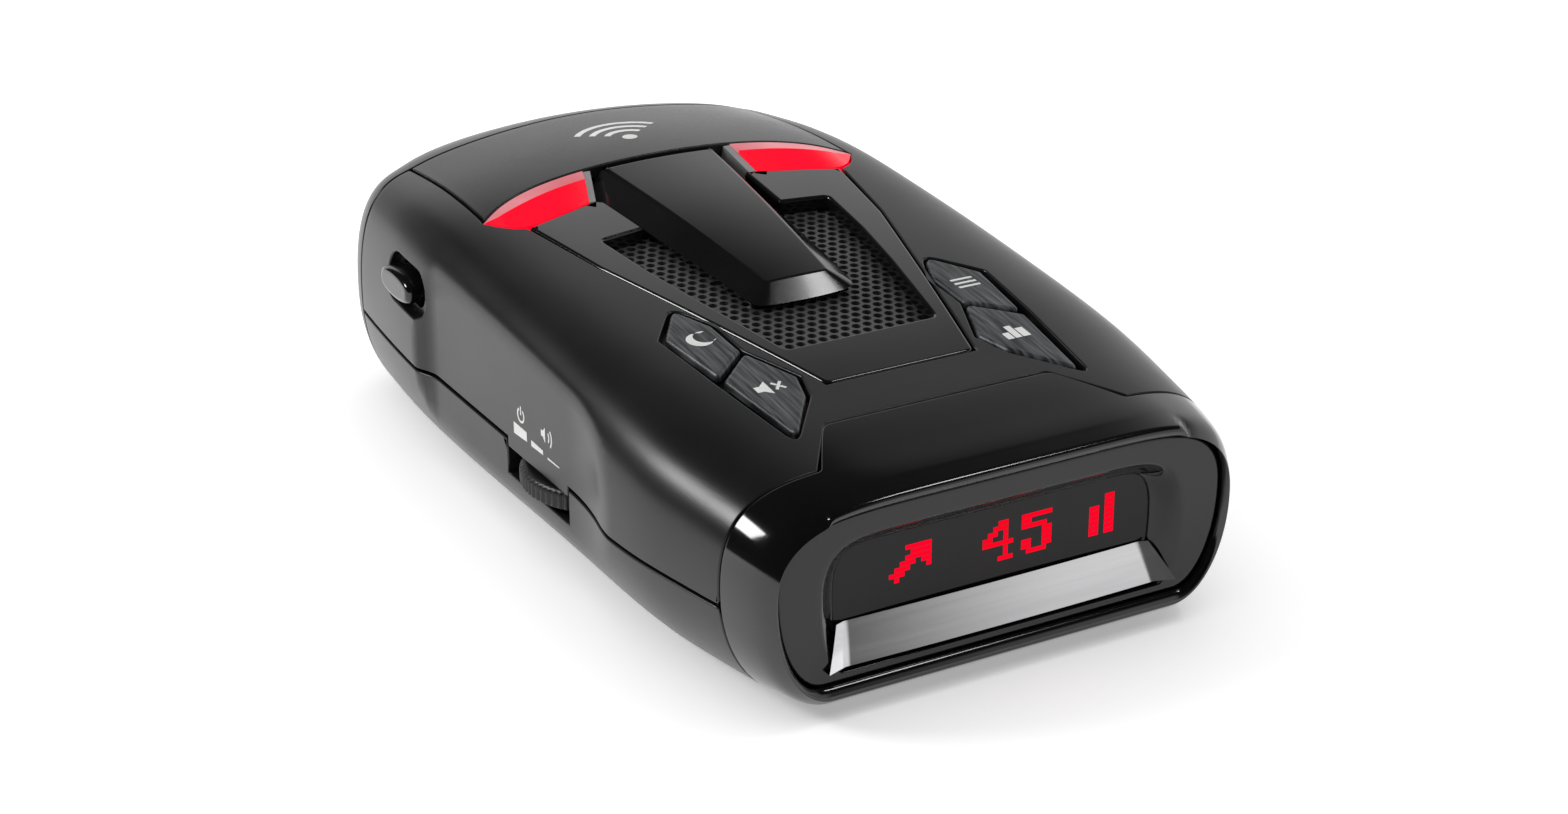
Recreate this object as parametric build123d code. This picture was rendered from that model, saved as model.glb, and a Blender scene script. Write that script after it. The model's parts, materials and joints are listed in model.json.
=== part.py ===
"""Dashboard radar detector, all sizes in millimetres.

The row frame stands on the bottom face: +Z is up, -Y is the display end that faces the driver,
+Y is the windshield end, and the thumbwheel and release button are on the -X side.
"""

import os
from math import cos, pi, sin

from build123d import *

os.makedirs("parts", exist_ok=True)

WALL = 1.8
GAP = 0.15

# Cross-section: belt height, curve of the shoulder and seam height
BELT_Z = 15.0
SHOULDER_POWER = 2.5
SEAM_Z = 13.1
BELLY_TRIM = 0.4

# Cuts from above run from one of these heights to well over the case
ROOF_Z = 20.0
SKY_Z = 45.0

# Body stations: y, half width, top height, belly height, shoulder squareness, lower corner width
BODY_STATIONS = [
    (-50.0, 32.2, 26.5, 0.6, 7.2, 10.0),
    (-43.0, 33.5, 27.35, 0.1, 7.3, 11.0),
    (-36.0, 34.6, 28.15, 0.0, 7.6, 11.3),
    (-29.0, 35.1, 28.95, 0.0, 8.2, 11.6),
    (-15.0, 35.2, 30.3, 0.0, 9.2, 11.9),
    (0.0, 35.2, 31.5, 0.0, 9.8, 11.6),
    (14.0, 35.0, 32.45, 0.0, 10.2, 10.6),
    (26.0, 34.6, 33.0, 0.0, 10.5, 9.8),
    (36.0, 33.9, 32.8, 0.0, 10.3, 9.2),
    (45.0, 33.0, 32.0, 0.0, 9.7, 9.0),
    (50.5, 31.8, 31.1, 0.0, 9.2, 9.0),
    (54.0, 29.8, 29.9, 0.7, 7.9, 9.0),
    (56.3, 26.6, 28.3, 1.8, 5.8, 9.0),
    (57.5, 22.5, 26.2, 3.6, 4.4, 9.0),
]
CAP_STATIONS = [
    (-57.5, 29.5, 24.5, 2.8, 6.0, 7.2),
    (-56.4, 30.2, 25.3, 1.9, 6.4, 8.0),
    (-54.0, 31.2, 26.0, 1.2, 6.9, 9.0),
    (-50.0, 32.2, 26.5, 0.6, 7.2, 10.0),
]

# Side recess: flat wall between two S-bends
RECESS_X = 33.27
RECESS_NEAR_Y = -15.7
RECESS_FAR_Y = 21.1

# Raised front top panel: crest height at each body station, and its fall to the sides
DOME_CREST = {
    14.0: 35.2, 26.0: 35.8, 36.0: 35.6, 45.0: 34.8, 50.5: 33.9, 54.0: 32.7, 56.3: 30.8, 57.5: 28.4
}
DOME_CROWN = 0.0039
PANEL_HALF = 26.0
PANEL_TAPER = 1.7
PANEL_EDGE_Y = 21.4
PANEL_EDGE_SAG = 4.6
PANEL_SEAT = 1.2
RIM_CURVE = [(-40.0, 46.6), (-33.0, 46.8), (-25.0, 47.2), (-13.0, 48.0), (0.0, 48.7)]

# Keystone trim, grille band and spine, given for the +X side
TRIM_SIDE = [
    (9.8, -34.2),
    (15.2, -14.3),
    (19.7, 2.5),
    (22.2, 14.9),
    (20.2, 16.7),
    (16.0, 18.7),
    (12.5, 20.7),
    (10.5, 20.7),
]
BAND_OUTER = [(10.0, -25.4), (13.2, -10.8), (16.0, 8.4), (11.0, 9.9)]
SPINE_STATIONS = [
    (25.3, 8.35, 11.2, 35.6),
    (10.0, 7.0, 9.9, 34.1),
    (-4.0, 5.9, 8.0, 32.3),
    (-10.9, 5.2, 7.2, 31.3),
    (-12.1, 4.9, 6.9, 30.6),
]
SPINE_SINK = 0.9

# Buttons: outlines for the +X side, travel and stem
BUTTON_FAR = [(17.3, -11.2), (21.5, -17.6), (20.3, -28.2), (15.0, -23.5), (14.9, -17.0)]
BUTTON_NEAR = [(15.0, -24.2), (20.1, -29.2), (18.6, -43.3), (13.2, -35.7), (11.9, -31.6)]
BUTTON_TRAVEL = 0.6
BUTTON_GAP = 0.25
STEM_R = 1.4
SWITCH_TOP_Z = 23.2
STEM_POINTS = {"far": (17.3, -19.5), "near": (15.9, -32.5)}

# Thumbwheel on its vertical spindle
WHEEL_X, WHEEL_Y = -24.2, -7.6
WHEEL_R = 10.5
WHEEL_Z0, WHEEL_Z1 = 9.0, 11.5
SPINDLE_R = 1.5
SPINDLE_CLEARANCE = 0.05
SLOT_Y0, SLOT_Y1 = -15.6, 1.0
SLOT_Z0, SLOT_Z1 = 8.6, 11.9

# Release button, latch and bracket socket
RELEASE_Y0, RELEASE_Y1 = 25.6, 34.4
RELEASE_Z0, RELEASE_Z1 = 21.0, 25.0
RELEASE_OUT_X = -35.1
FLANGE_X = -30.4
LATCH_X0 = -29.0
SOCKET_HALF = 9.0
SOCKET_Z0, SOCKET_Z1 = 18.4, 23.2
SOCKET_Y0 = 42.0
SOCKET_WALL = 1.5

# Jacks on the +X side
POWER_Y, POWER_Z, POWER_BORE_R = 14.0, 8.6, 2.75
POWER_LENGTH = 9.0
JACK_FACE_X = 32.6
DATA_Y, DATA_Z = 2.0, 8.4

BOARD_Z0, BOARD_Z1 = 4.0, 5.6
SCREW_POINTS = [(-22.0, -41.0), (22.0, -41.0), (-20.5, 39.5), (20.5, 39.5)]
BOARD_SCREWS = [(-24.0, 20.0), (24.0, 24.0), (-10.0, -26.5), (24.0, -26.0)]


def wedge_z(y):
    """Height of the low top surface between the visor and the lenses."""
    s = y + 50.0
    return 26.5 + 0.128 * s - 0.00055 * s * s


def section(y, half, top, belly, power, lower_corner, inset):
    """One closed cross-section in the plane at y, drawn inset by a wall thickness.

    The outer surface dips below the floor plane, so that its underside can be trimmed flat.
    """
    w = half - inset
    rise = top - inset - BELT_Z
    floor = belly + inset if inset else belly - BELLY_TRIM
    corner = lower_corner - inset
    upper = []
    steps = 22
    for k in range(steps + 1):
        t = pi * k / steps
        x = w * abs(cos(t)) ** (2.0 / power)
        if t > pi / 2:
            x = -x
        upper.append((x, y, BELT_Z + rise * abs(sin(t)) ** (2.0 / SHOULDER_POWER)))
    lower = []
    for k in range(7):
        t = 0.5 * pi * k / 6
        lower.append((w - corner + corner * cos(t), y, BELT_Z - (BELT_Z - floor) * sin(t)))
    left = [(-x, yy, z) for x, yy, z in reversed(lower)]
    edges = [
        Spline(*upper),
        Spline(*left[::-1]),
        Line(left[0], lower[-1]),
        Spline(*lower[::-1]),
    ]
    return make_face(Wire(edges))


def lofted(stations, inset):
    return loft([section(*s, inset) for s in stations])


def prism(points, z0=-5.0, z1=45.0):
    """Vertical prism over a plan outline."""
    face = make_face(Polyline(*points, close=True))
    return Pos(0, 0, z0) * extrude(face, z1 - z0, dir=(0, 0, 1))


def block(x0, x1, y0, y1, z0, z1):
    return Pos((x0 + x1) / 2, (y0 + y1) / 2, (z0 + z1) / 2) * Box(x1 - x0, y1 - y0, z1 - z0)


def drum(x, y, z0, z1, r):
    return Pos(x, y, (z0 + z1) / 2) * Cylinder(r, z1 - z0)


def rod_x(y, z, x0, x1, r):
    return Pos((x0 + x1) / 2, y, z) * Rot(0, 90, 0) * Cylinder(r, x1 - x0)


def rod_y(x, z, y0, y1, r):
    return Pos(x, (y0 + y1) / 2, z) * Rot(90, 0, 0) * Cylinder(r, y1 - y0)


def mirrored(points):
    return [(-x, y) for x, y in points]


def both_sides(points):
    """Closes a +X outline with its own mirror image."""
    return points + [(-x, y) for x, y in reversed(points)]


def grown(points, by):
    face = make_face(Polyline(*points, close=True))
    return offset(face, amount=by, kind=Kind.INTERSECTION)


def grown_prism(points, by, z0=-5.0, z1=45.0):
    return Pos(0, 0, z0) * extrude(grown(points, by), z1 - z0, dir=(0, 0, 1))


def save(shape, node):
    export_step(shape, f"parts/{node}.step")


# ---- outer form -------------------------------------------------------------------------------


def recess_cut(side):
    """Everything outside the flat side wall and its two S-bends."""
    near = Bezier(
        (side * 35.6, RECESS_NEAR_Y - 14.0),
        (side * 35.2, RECESS_NEAR_Y - 8.0),
        (side * RECESS_X, RECESS_NEAR_Y - 5.0),
        (side * RECESS_X, RECESS_NEAR_Y),
    )
    far = Bezier(
        (side * RECESS_X, RECESS_FAR_Y),
        (side * RECESS_X, RECESS_FAR_Y + 2.6),
        (side * 34.9, RECESS_FAR_Y + 2.8),
        (side * 35.3, RECESS_FAR_Y + 6.0),
    )
    outline = Wire([
        near,
        Line(near @ 1, far @ 0),
        far,
        Line(far @ 1, (side * 40.0, RECESS_FAR_Y + 6.0)),
        Line((side * 40.0, RECESS_FAR_Y + 6.0), (side * 40.0, RECESS_NEAR_Y - 14.0)),
        Line((side * 40.0, RECESS_NEAR_Y - 14.0), near @ 0),
    ])
    return Pos(0, 0, -5) * extrude(make_face(outline), 50.0, dir=(0, 0, 1))


above_floor = block(-60, 60, -80, 80, 0, 60)
recesses = recess_cut(1) + recess_cut(-1)
body = (lofted(BODY_STATIONS, 0.0) & above_floor) - recesses
trim_skin = lofted(BODY_STATIONS, 1.6)
hollow = lofted(BODY_STATIONS, WALL) & block(
    -RECESS_X + WALL, RECESS_X - WALL, -60, 60, 0, 40
)
seat_body = lofted(BODY_STATIONS, PANEL_SEAT)
cap_body = lofted(CAP_STATIONS, 0.0) & above_floor


def dome():
    """Solid under the domed panel surface, wide enough to be trimmed in plan."""
    faces = []
    for y, half, _, _, power, _ in BODY_STATIONS:
        if y not in DOME_CREST:
            continue
        reach = min(PANEL_HALF + 2.0, half - 1.0)
        points = []
        for k in range(17):
            x = reach * (k - 8) / 8
            rise = DOME_CREST[y] - DOME_CROWN * x * x - BELT_Z
            shoulder = (1.0 - (abs(x) / half) ** power) ** (1.0 / SHOULDER_POWER)
            points.append((x, y, BELT_Z + rise * shoulder))
        top = Spline(*points)
        left = (-reach, y, BELT_Z + 1.0)
        right = (reach, y, BELT_Z + 1.0)
        faces.append(make_face(Wire([top, Line(top @ 1, right), Line(right, left), Line(left, top @ 0)])))
    return loft(faces, ruled=True)


def rim_region():
    """Plan region of the front cover, beyond the rim seam."""
    half = RIM_CURVE + [(-x, y) for x, y in reversed(RIM_CURVE[:-1])]
    curve = Spline(*half)
    corners = [Line(curve @ 1, (40, 70)), Line((40, 70), (-40, 70)), Line((-40, 70), curve @ 0)]
    return Pos(0, 0, -5) * extrude(make_face(Wire([curve] + corners)), 50.0, dir=(0, 0, 1))


def panel_region(by):
    """Plan region of the front top panel without its rim cut, shrunk by a gap."""
    half = PANEL_HALF - by
    arc = ThreePointArc(
        (-half, PANEL_EDGE_Y + by), (0, PANEL_EDGE_Y + PANEL_EDGE_SAG + by), (half, PANEL_EDGE_Y + by)
    )
    far = half - PANEL_TAPER
    corners = [Line(arc @ 1, (far, 60)), Line((far, 60), (-far, 60)), Line((-far, 60), arc @ 0)]
    return Pos(0, 0, 25) * extrude(make_face(Wire([arc] + corners)), 20.0, dir=(0, 0, 1))


rim = rim_region()
rim_far = Pos(0, GAP, 0) * rim
rim_near = Pos(0, -GAP, 0) * rim

dome_body = dome()
front_cover = (body + dome_body) & rim_far
front_cover = front_cover - (lofted(BODY_STATIONS, 2.0) & block(-40, 40, 20, 55.3, 0, 40))
front_panel = dome_body & panel_region(GAP)
front_panel = (front_panel - seat_body) - rim_near

# Visor tab and trim regions
visor_outline = both_sides([(14.4, -41.9), (20.0, -50.0), (20.0, -50.6)])
trim_outline = both_sides(TRIM_SIDE)
band_outline = both_sides(BAND_OUTER)

# Lenses: y and z of the top edge and of the bottom edge at each x
LENS_STATIONS = [
    (12.5, 25.0, 35.0, 21.0, 32.2),
    (16.0, 24.3, 34.6, 19.0, 32.3),
    (20.2, 23.3, 34.1, 17.0, 32.4),
    (24.0, 22.2, 33.5, 19.3, 32.4),
    (25.8, 21.7, 32.9, 21.0, 32.5),
]
LENS_DEPTH = 2.0


def lens(side):
    faces = []
    for x, top_y, top_z, low_y, low_z in LENS_STATIONS:
        corners = [
            (side * x, top_y, top_z),
            (side * x, low_y, low_z),
            (side * x, low_y, low_z - LENS_DEPTH),
            (side * x, top_y, low_z - LENS_DEPTH),
        ]
        faces.append(make_face(Polyline(*corners, close=True)))
    return loft(faces, ruled=True)


def lens_opening(side):
    points = [(side * s[0], s[1]) for s in LENS_STATIONS]
    points += [(side * s[0], s[3]) for s in reversed(LENS_STATIONS)]
    return grown_prism(points, 0.2, ROOF_Z, SKY_Z)


CHEEK_X0, CHEEK_X1 = 11.45, 12.3


def cheek(side):
    """Pale strip that closes the step between a lens and the spine."""
    corners = [(24.7, 34.5), (20.9, 32.1), (20.9, 30.4), (24.7, 30.4)]
    face = make_face(Polyline(*[(0.0, y, z) for y, z in corners], close=True))
    return Pos(side * CHEEK_X0, 0, 0) * extrude(face, CHEEK_X1 - CHEEK_X0, dir=(side, 0, 0))


cheek_opening = block(CHEEK_X0 - 0.15, CHEEK_X1 + 0.15, 20.7, 25.35, 25, 45)
cheek_openings = cheek_opening + mirror(cheek_opening, Plane.YZ)

# ---- housings -----------------------------------------------------------------------------------

shell = body - hollow
shell = shell - rim_near
upper = shell & block(-40, 40, -50, 60, SEAM_Z + GAP / 2, 45)
lower = shell & block(-40, 40, -50, 60, -1, SEAM_Z - GAP / 2)

# Panel seat, trim, visor, lens and button openings in the upper housing
seat_cut = panel_region(0.0) - lofted(BODY_STATIONS, PANEL_SEAT + 0.01)
upper = upper - seat_cut
upper = upper - grown_prism(trim_outline, GAP, ROOF_Z, SKY_Z)
upper = upper - grown_prism(visor_outline, GAP, BELT_Z, SKY_Z)
for side in (1, -1):
    upper = upper - lens_opening(side)
    for outline in (BUTTON_FAR, BUTTON_NEAR):
        points = outline if side == 1 else mirrored(outline)
        upper = upper - grown_prism(points, 0.0, BELT_Z, SKY_Z)
upper = upper - cheek_openings
spine_outline = both_sides([(7.1, -13.1), (8.2, -4.0), (10.1, 10.0), (11.3, 25.4)])
upper = upper - (grown_prism(spine_outline, GAP, ROOF_Z, SKY_Z) - panel_region(0.0))

# Release button pocket and its through hole
pocket = block(-40, -32.7, 22.8, 35.4, 19.9, 26.2)
pocket_floor = block(-34.5, -31.0, 22.0, 36.2, 19.1, 27.0) & lofted(BODY_STATIONS, 0.6)
release_hole = block(
    -40, -28, RELEASE_Y0 - 0.2, RELEASE_Y1 + 0.2, RELEASE_Z0 - 0.2, RELEASE_Z1 + 0.2
)
upper = (upper + pocket_floor) - pocket - release_hole

# Wheel slot: the lower wall is open up to the seam and the upper wall hangs a tab into it
slot = block(-36, -30, SLOT_Y0, SLOT_Y1, SLOT_Z0, SEAM_Z + 1.0)
lower = lower - slot
tab = block(-RECESS_X, -RECESS_X + WALL, SLOT_Y0 + 0.1, SLOT_Y1 - 0.1, SLOT_Z1, SEAM_Z + 0.3)
upper = upper + tab

# Jacks, bosses and screw holes in the lower housing
power_hole = rod_x(POWER_Y, POWER_Z, 29, 36, 4.2)
data_hole = block(29, 36, DATA_Y - 4.1, DATA_Y + 4.1, DATA_Z - 2.1, DATA_Z + 2.1)
lower = lower - power_hole - data_hole
for x, y in SCREW_POINTS:
    lower = lower + (drum(x, y, WALL - 0.3, 9.0, 3.2) - drum(x, y, WALL - 1, 12.0, 1.7))
    lower = lower - drum(x, y, -1, 5.0, 2.9) - drum(x, y, -1, 12.0, 1.7)
for x, y in BOARD_SCREWS:
    lower = lower + drum(x, y, WALL - 0.3, BOARD_Z0, 2.6) - drum(x, y, WALL + 0.4, 5.0, 0.9)
for x, y in SCREW_POINTS:
    post = drum(x, y, 9.2, 36.0, 3.2) - drum(x, y, 9.0, 19.0, 1.25)
    upper = upper + (post & lofted(BODY_STATIONS, PANEL_SEAT + 0.2))

save(upper.solids().sort_by(SortBy.VOLUME)[-1], "upper_housing")
save(lower, "lower_housing")

# Laser lens and bracket slot openings in the front cover
LASER_X, LASER_Z = -16.0, 12.0
slot_through = block(-SOCKET_HALF, SOCKET_HALF, 50, 60, SOCKET_Z0, SOCKET_Z1)
cover_cut = slot_through + rod_y(LASER_X, LASER_Z, 50, 60, 4.6)
front_cover = front_cover - cover_cut
save(front_cover, "front_cover")
save(front_panel, "front_top_panel")

# ---- trim, grille, spine and lenses -------------------------------------------------------------

spine_faces = []
spine_inner_faces = []
for y, top_half, foot_half, top_z in SPINE_STATIONS:
    foot_z = wedge_z(y) - SPINE_SINK
    for faces, t in ((spine_faces, 0.0), (spine_inner_faces, 1.3)):
        top = top_z - t
        half_t = top_half - t * 0.9
        half_f = foot_half - t
        bevel = 0.9
        corners = [
            (half_f, y, foot_z - t),
            (half_t + bevel * 0.5, y, max(top - bevel, foot_z + 0.1)),
            (half_t - bevel, y, top),
            (-half_t + bevel, y, top),
            (-half_t - bevel * 0.5, y, max(top - bevel, foot_z + 0.1)),
            (-half_f, y, foot_z - t),
        ]
        faces.append(make_face(Polyline(*corners, close=True)))
spine = loft(spine_faces, ruled=True) - (
    loft(spine_inner_faces, ruled=True) & block(-20, 20, -11.4, 23.9, 20, 40)
)
spine = spine - (Pos(0, -0.01, 0) * panel_region(0.0))
save(spine, "centre_spine")

trim = (body - trim_skin) & prism(trim_outline, ROOF_Z, SKY_Z)
trim = trim - grown_prism(band_outline, 0.0, ROOF_Z, SKY_Z)
trim = trim - grown_prism(spine_outline, GAP, ROOF_Z, SKY_Z)
save(trim, "grille_trim")

# The grille is a flat sheet laid under the trim's opening, a little below its edge
GRILLE_PITCH = 2.1
GRILLE_HOLE_R = 0.65
GRILLE_TILT = 5.2
grille_plan = both_sides([(10.8, -26.4), (14.0, -10.8), (17.0, 10.0)])
grille_face = make_face(Polyline(*grille_plan, close=True))
sheet = extrude(grille_face, 0.6, dir=(0, 0, 1))
holes = []
for row in range(-13, 6):
    for column in range(-8, 9):
        x = GRILLE_PITCH * (column + 0.5 * (row % 2))
        y = GRILLE_PITCH * 0.866 * row
        inside_band = abs(x) < 9.3 + 0.17 * (y + 25.4) and -24.6 < y < 8.4
        under_spine = abs(x) < 8.0 + 0.11 * (y + 12.3) and y > -13.6
        if inside_band and not under_spine:
            holes.append(Pos(x, y, 0.3) * Cylinder(GRILLE_HOLE_R, 2.0))
sheet = sheet - holes
grille = Pos(0, -8.0, wedge_z(-8.0) - 3.3) * Rot(GRILLE_TILT, 0, 0) * Pos(0, 8.0, 0) * sheet
save(grille, "speaker_grille")

for name, side in (("right", 1), ("left", -1)):
    save(lens(side), f"alert_lens_{name}")
    save(cheek(side), f"lens_cheek_{name}")

# ---- buttons ------------------------------------------------------------------------------------


def button(points, stem):
    """Cap that follows the top surface, a flange that keeps it in and a stem over its switch."""
    cap = (body - lofted(BODY_STATIONS, 2.4)) & grown_prism(points, -BUTTON_GAP, BELT_Z, SKY_Z)
    post = drum(stem[0], stem[1], SWITCH_TOP_Z + BUTTON_TRAVEL + 0.1, wedge_z(stem[1]) - 2.0, STEM_R)
    return cap + post


BUTTON_NAMES = {
    ("far", 1): "button_menu",
    ("near", 1): "button_city",
    ("far", -1): "button_dim",
    ("near", -1): "button_mute",
}
switches = []
for (place, side), node in BUTTON_NAMES.items():
    outline = BUTTON_FAR if place == "far" else BUTTON_NEAR
    stem_x, stem_y = STEM_POINTS[place]
    cap = button(outline, (stem_x, stem_y))
    save(cap if side == 1 else mirror(cap, Plane.YZ), node)
    base = block(-2.6, 2.6, -2.6, 2.6, SWITCH_TOP_Z - 2.0, SWITCH_TOP_Z - 0.5)
    plunger = drum(0, 0, SWITCH_TOP_Z - 0.5, SWITCH_TOP_Z, 1.2)
    switches.append(Pos(side * stem_x, stem_y, 0) * (base + plunger))

KEY_Z1 = SWITCH_TOP_Z - 2.0
KEY_Z0 = KEY_Z1 - 1.2
key_board = block(-21, 21, -37, -27, KEY_Z0, KEY_Z1)
for side in (1, -1):
    key_board = key_board + block(side * 18.0 - 3.2, side * 18.0 + 3.2, -27, -15, KEY_Z0, KEY_Z1)
save(key_board, "key_board")
save(Compound(children=switches), "key_switches")

# ---- display end --------------------------------------------------------------------------------


def insert_outline(by):
    """Half outline of the display insert in the XZ plane, clockwise from its top centre."""
    return [
        (22.3 - by * 0.6, 23.8 - by),
        (25.7 - by * 0.8, 23.1 - by * 0.8),
        (27.9 - by, 21.5 - by * 0.5),
        (28.9 - by, 18.0),
        (28.9 - by, 14.0),
        (27.6 - by, 8.0),
        (25.6 - by * 0.8, 4.9 + by * 0.7),
        (23.2 - by * 0.6, 4.1 + by),
    ]


def front_plate(half_points, y0, y1):
    """Plate over a mirrored XZ outline between two y planes."""
    outline = [(x, y0, z) for x, z in half_points]
    outline += [(-x, y0, z) for x, z in reversed(half_points)]
    return extrude(make_face(Polyline(*outline, close=True)), y1 - y0, dir=(0, 1, 0))


WINDOW_HALF, WINDOW_Z0, WINDOW_Z1 = 20.2, 10.75, 18.9
WINDOW_Y = -54.2
INSERT_Y = -56.4
SILL_FOOT_Z = 6.0

cap_hollow = lofted(CAP_STATIONS, 2.0) & block(-40, 40, -56.0, -49, 0, 40)
bezel = cap_body - cap_hollow - front_plate(insert_outline(0.0), -60, -53)
bezel = bezel & block(-40, 40, -60, -50 - GAP, -1, 40)
visor = (body - lofted(BODY_STATIONS, 1.6)) & prism(visor_outline, ROOF_Z, SKY_Z)
visor_root = (cap_body - lofted(CAP_STATIONS, 1.6)) & block(-19.8, 19.8, -52, -50.1, BELT_Z, SKY_Z)
visor_joint = block(-18.5, 18.5, -51.5, -49.0, 24.4, 25.6) & (body + cap_body)
bezel = bezel + visor + visor_root + visor_joint
save(bezel, "rear_bezel")

recess = [(23.0, 21.3), (23.7, 20.0), (23.7, 7.0), (22.5, 5.7)]
insert = front_plate(insert_outline(GAP), INSERT_Y, -53.05)
insert = insert + block(-25.4, 25.4, -53.1, -51.6, 6.4, 21.6)
insert = insert - front_plate(recess, -60, WINDOW_Y)
insert = insert - front_plate([(WINDOW_HALF, WINDOW_Z1), (WINDOW_HALF, WINDOW_Z0)], -55, -50)
display_room = [(23.6, 20.6), (23.6, 8.6)]
insert = insert - front_plate(display_room, -52.9, -50)
save(insert, "display_insert")
window_plate = front_plate([(WINDOW_HALF - 0.1, WINDOW_Z1 - 0.1), (WINDOW_HALF - 0.1, WINDOW_Z0 + 0.1)],
                           WINDOW_Y + 0.05, -52.9)
save(window_plate, "display_window")

sill_side = [
    (0, WINDOW_Y, WINDOW_Z0 - 0.6),
    (0, INSERT_Y + 0.5, SILL_FOOT_Z),
    (0, WINDOW_Y, SILL_FOOT_Z),
]
sill = extrude(make_face(Polyline(*sill_side, close=True)), 21.4, dir=(1, 0, 0), both=True)
save(sill, "sill_trim")

save(block(-21.5, 21.5, -52.8, -50.6, 9.2, 20.2), "display_module")
save(block(-23.5, 23.5, -50.5, -49.3, 5.5, 21.5), "display_board")
ribbon = block(-8, 8, -49.2, -49.0, 7.0, 15.0) + block(-8, 8, -49.2, -36.6, 6.8, 7.0)
ribbon = ribbon + block(-8, 8, -36.8, -36.6, 5.7, 7.0)
save(ribbon, "ribbon_cable")

# ---- inner parts --------------------------------------------------------------------------------

main_board = block(-26.0, 26.0, -46.0, 40.0, BOARD_Z0, BOARD_Z1)
for side in (1, -1):
    main_board = main_board - block(side * 22.0 - 5.0, side * 22.0 + 5.0, -50, -36.6, 0, 12)
    main_board = main_board - block(side * 21.5 - 5.5, side * 21.5 + 5.5, 35.0, 50, 0, 12)
for x, y in BOARD_SCREWS:
    main_board = main_board - drum(x, y, 0, 12, 1.3)
main_board = main_board - block(19.0, 30.0, -3.0, 19.5, 0, 12)
save(main_board, "main_board")

POT_HALF = 4.6
pot = block(WHEEL_X - POT_HALF + 3.0, WHEEL_X + POT_HALF + 3.0, WHEEL_Y - POT_HALF,
            WHEEL_Y + POT_HALF, BOARD_Z1, WHEEL_Z0 - 0.5)
pot = pot + drum(WHEEL_X, WHEEL_Y, BOARD_Z1, WHEEL_Z0 - 0.5, 3.0) - block(-40, -25.9, -20, 5, 5, 6)
pot = pot + drum(WHEEL_X, WHEEL_Y, WHEEL_Z0 - 0.6, WHEEL_Z1, SPINDLE_R)
save(pot, "volume_control")

KNURLS = 60
wheel = drum(WHEEL_X, WHEEL_Y, WHEEL_Z0, WHEEL_Z1, WHEEL_R)
notches = []
for k in range(KNURLS):
    angle = 2 * pi * k / KNURLS
    spot = (WHEEL_X + WHEEL_R * cos(angle), WHEEL_Y + WHEEL_R * sin(angle))
    notches.append(drum(spot[0], spot[1], WHEEL_Z0 - 1, WHEEL_Z1 + 1, 0.25))
wheel = wheel - notches - drum(WHEEL_X, WHEEL_Y, 0, 20, SPINDLE_R + SPINDLE_CLEARANCE)
save(wheel, "thumbwheel")

# Horn antenna: flared box that opens toward the windshield
HORN_X, HORN_Z = 6.0, 10.4
horn_outer = loft([
    Plane((HORN_X, 12, HORN_Z), x_dir=(1, 0, 0), z_dir=(0, 1, 0)) * Rectangle(14, 7),
    Plane((HORN_X, 43, HORN_Z), x_dir=(1, 0, 0), z_dir=(0, 1, 0)) * Rectangle(22, 8.4),
], ruled=True)
horn_inner = loft([
    Plane((HORN_X, 20, HORN_Z), x_dir=(1, 0, 0), z_dir=(0, 1, 0)) * Rectangle(9, 4),
    Plane((HORN_X, 44, HORN_Z), x_dir=(1, 0, 0), z_dir=(0, 1, 0)) * Rectangle(20, 6.8),
], ruled=True)
save(horn_outer - horn_inner, "horn_antenna")
save(block(-6, 18, -26, 8, BOARD_Z1, 10.5), "shield_can")

save(block(LASER_X - 5, LASER_X + 5, 27, 34, BOARD_Z1, 16.5), "laser_sensor")
laser_lens = rod_y(LASER_X, LASER_Z, 51.5, 55.6, 4.45) - rod_y(LASER_X, LASER_Z, 51.0, 53.2, 3.4)
save(laser_lens, "laser_lens")

speaker = drum(0, -5.5, 18.6, 22.6, 8.0) + drum(0, -5.5, 22.6, 25.0, 13.5)
save(speaker, "speaker")

light_board = block(-25, 25, 17.4, 23.6, 25.6, 26.6) & hollow
save(light_board, "light_board")
leds = []
for x in (-21.0, -15.5, 15.5, 21.0):
    leds.append(block(x - 1.4, x + 1.4, 19.4, 22.2, 26.6, 27.8))
save(Compound(children=leds), "alert_leds")

chips = [
    block(-21, -13, -36, -29, BOARD_Z1, 6.9),
    block(-4, 4, -35, -29, BOARD_Z1, 6.8),
    block(11, 17, -38, -31, BOARD_Z1, 7.2),
]
save(Compound(children=chips), "board_chips")
save(block(-19, -11, 10, 18, BOARD_Z1, 7.0), "heading_sensor")

# Power and data jacks
jack = block(20.0, 29.8, POWER_Y - 4.5, POWER_Y + 4.5, POWER_Z - 3.5, POWER_Z + 4.2)
jack = jack + rod_x(POWER_Y, POWER_Z, 29.5, JACK_FACE_X, 4.05)
jack = jack - rod_x(POWER_Y, POWER_Z, JACK_FACE_X - POWER_LENGTH, 40, POWER_BORE_R)
save(jack, "power_jack")
data = block(20.0, 32.4, DATA_Y - 3.9, DATA_Y + 3.9, DATA_Z - 1.95, DATA_Z + 1.95)
data = data - block(24.0, 40, DATA_Y - 3.4, DATA_Y + 3.4, DATA_Z - 1.45, DATA_Z + 1.45)
data = data + block(23.8, 31.4, DATA_Y - 2.6, DATA_Y + 2.6, DATA_Z - 0.3, DATA_Z + 0.3)
save(data, "data_jack")

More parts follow.
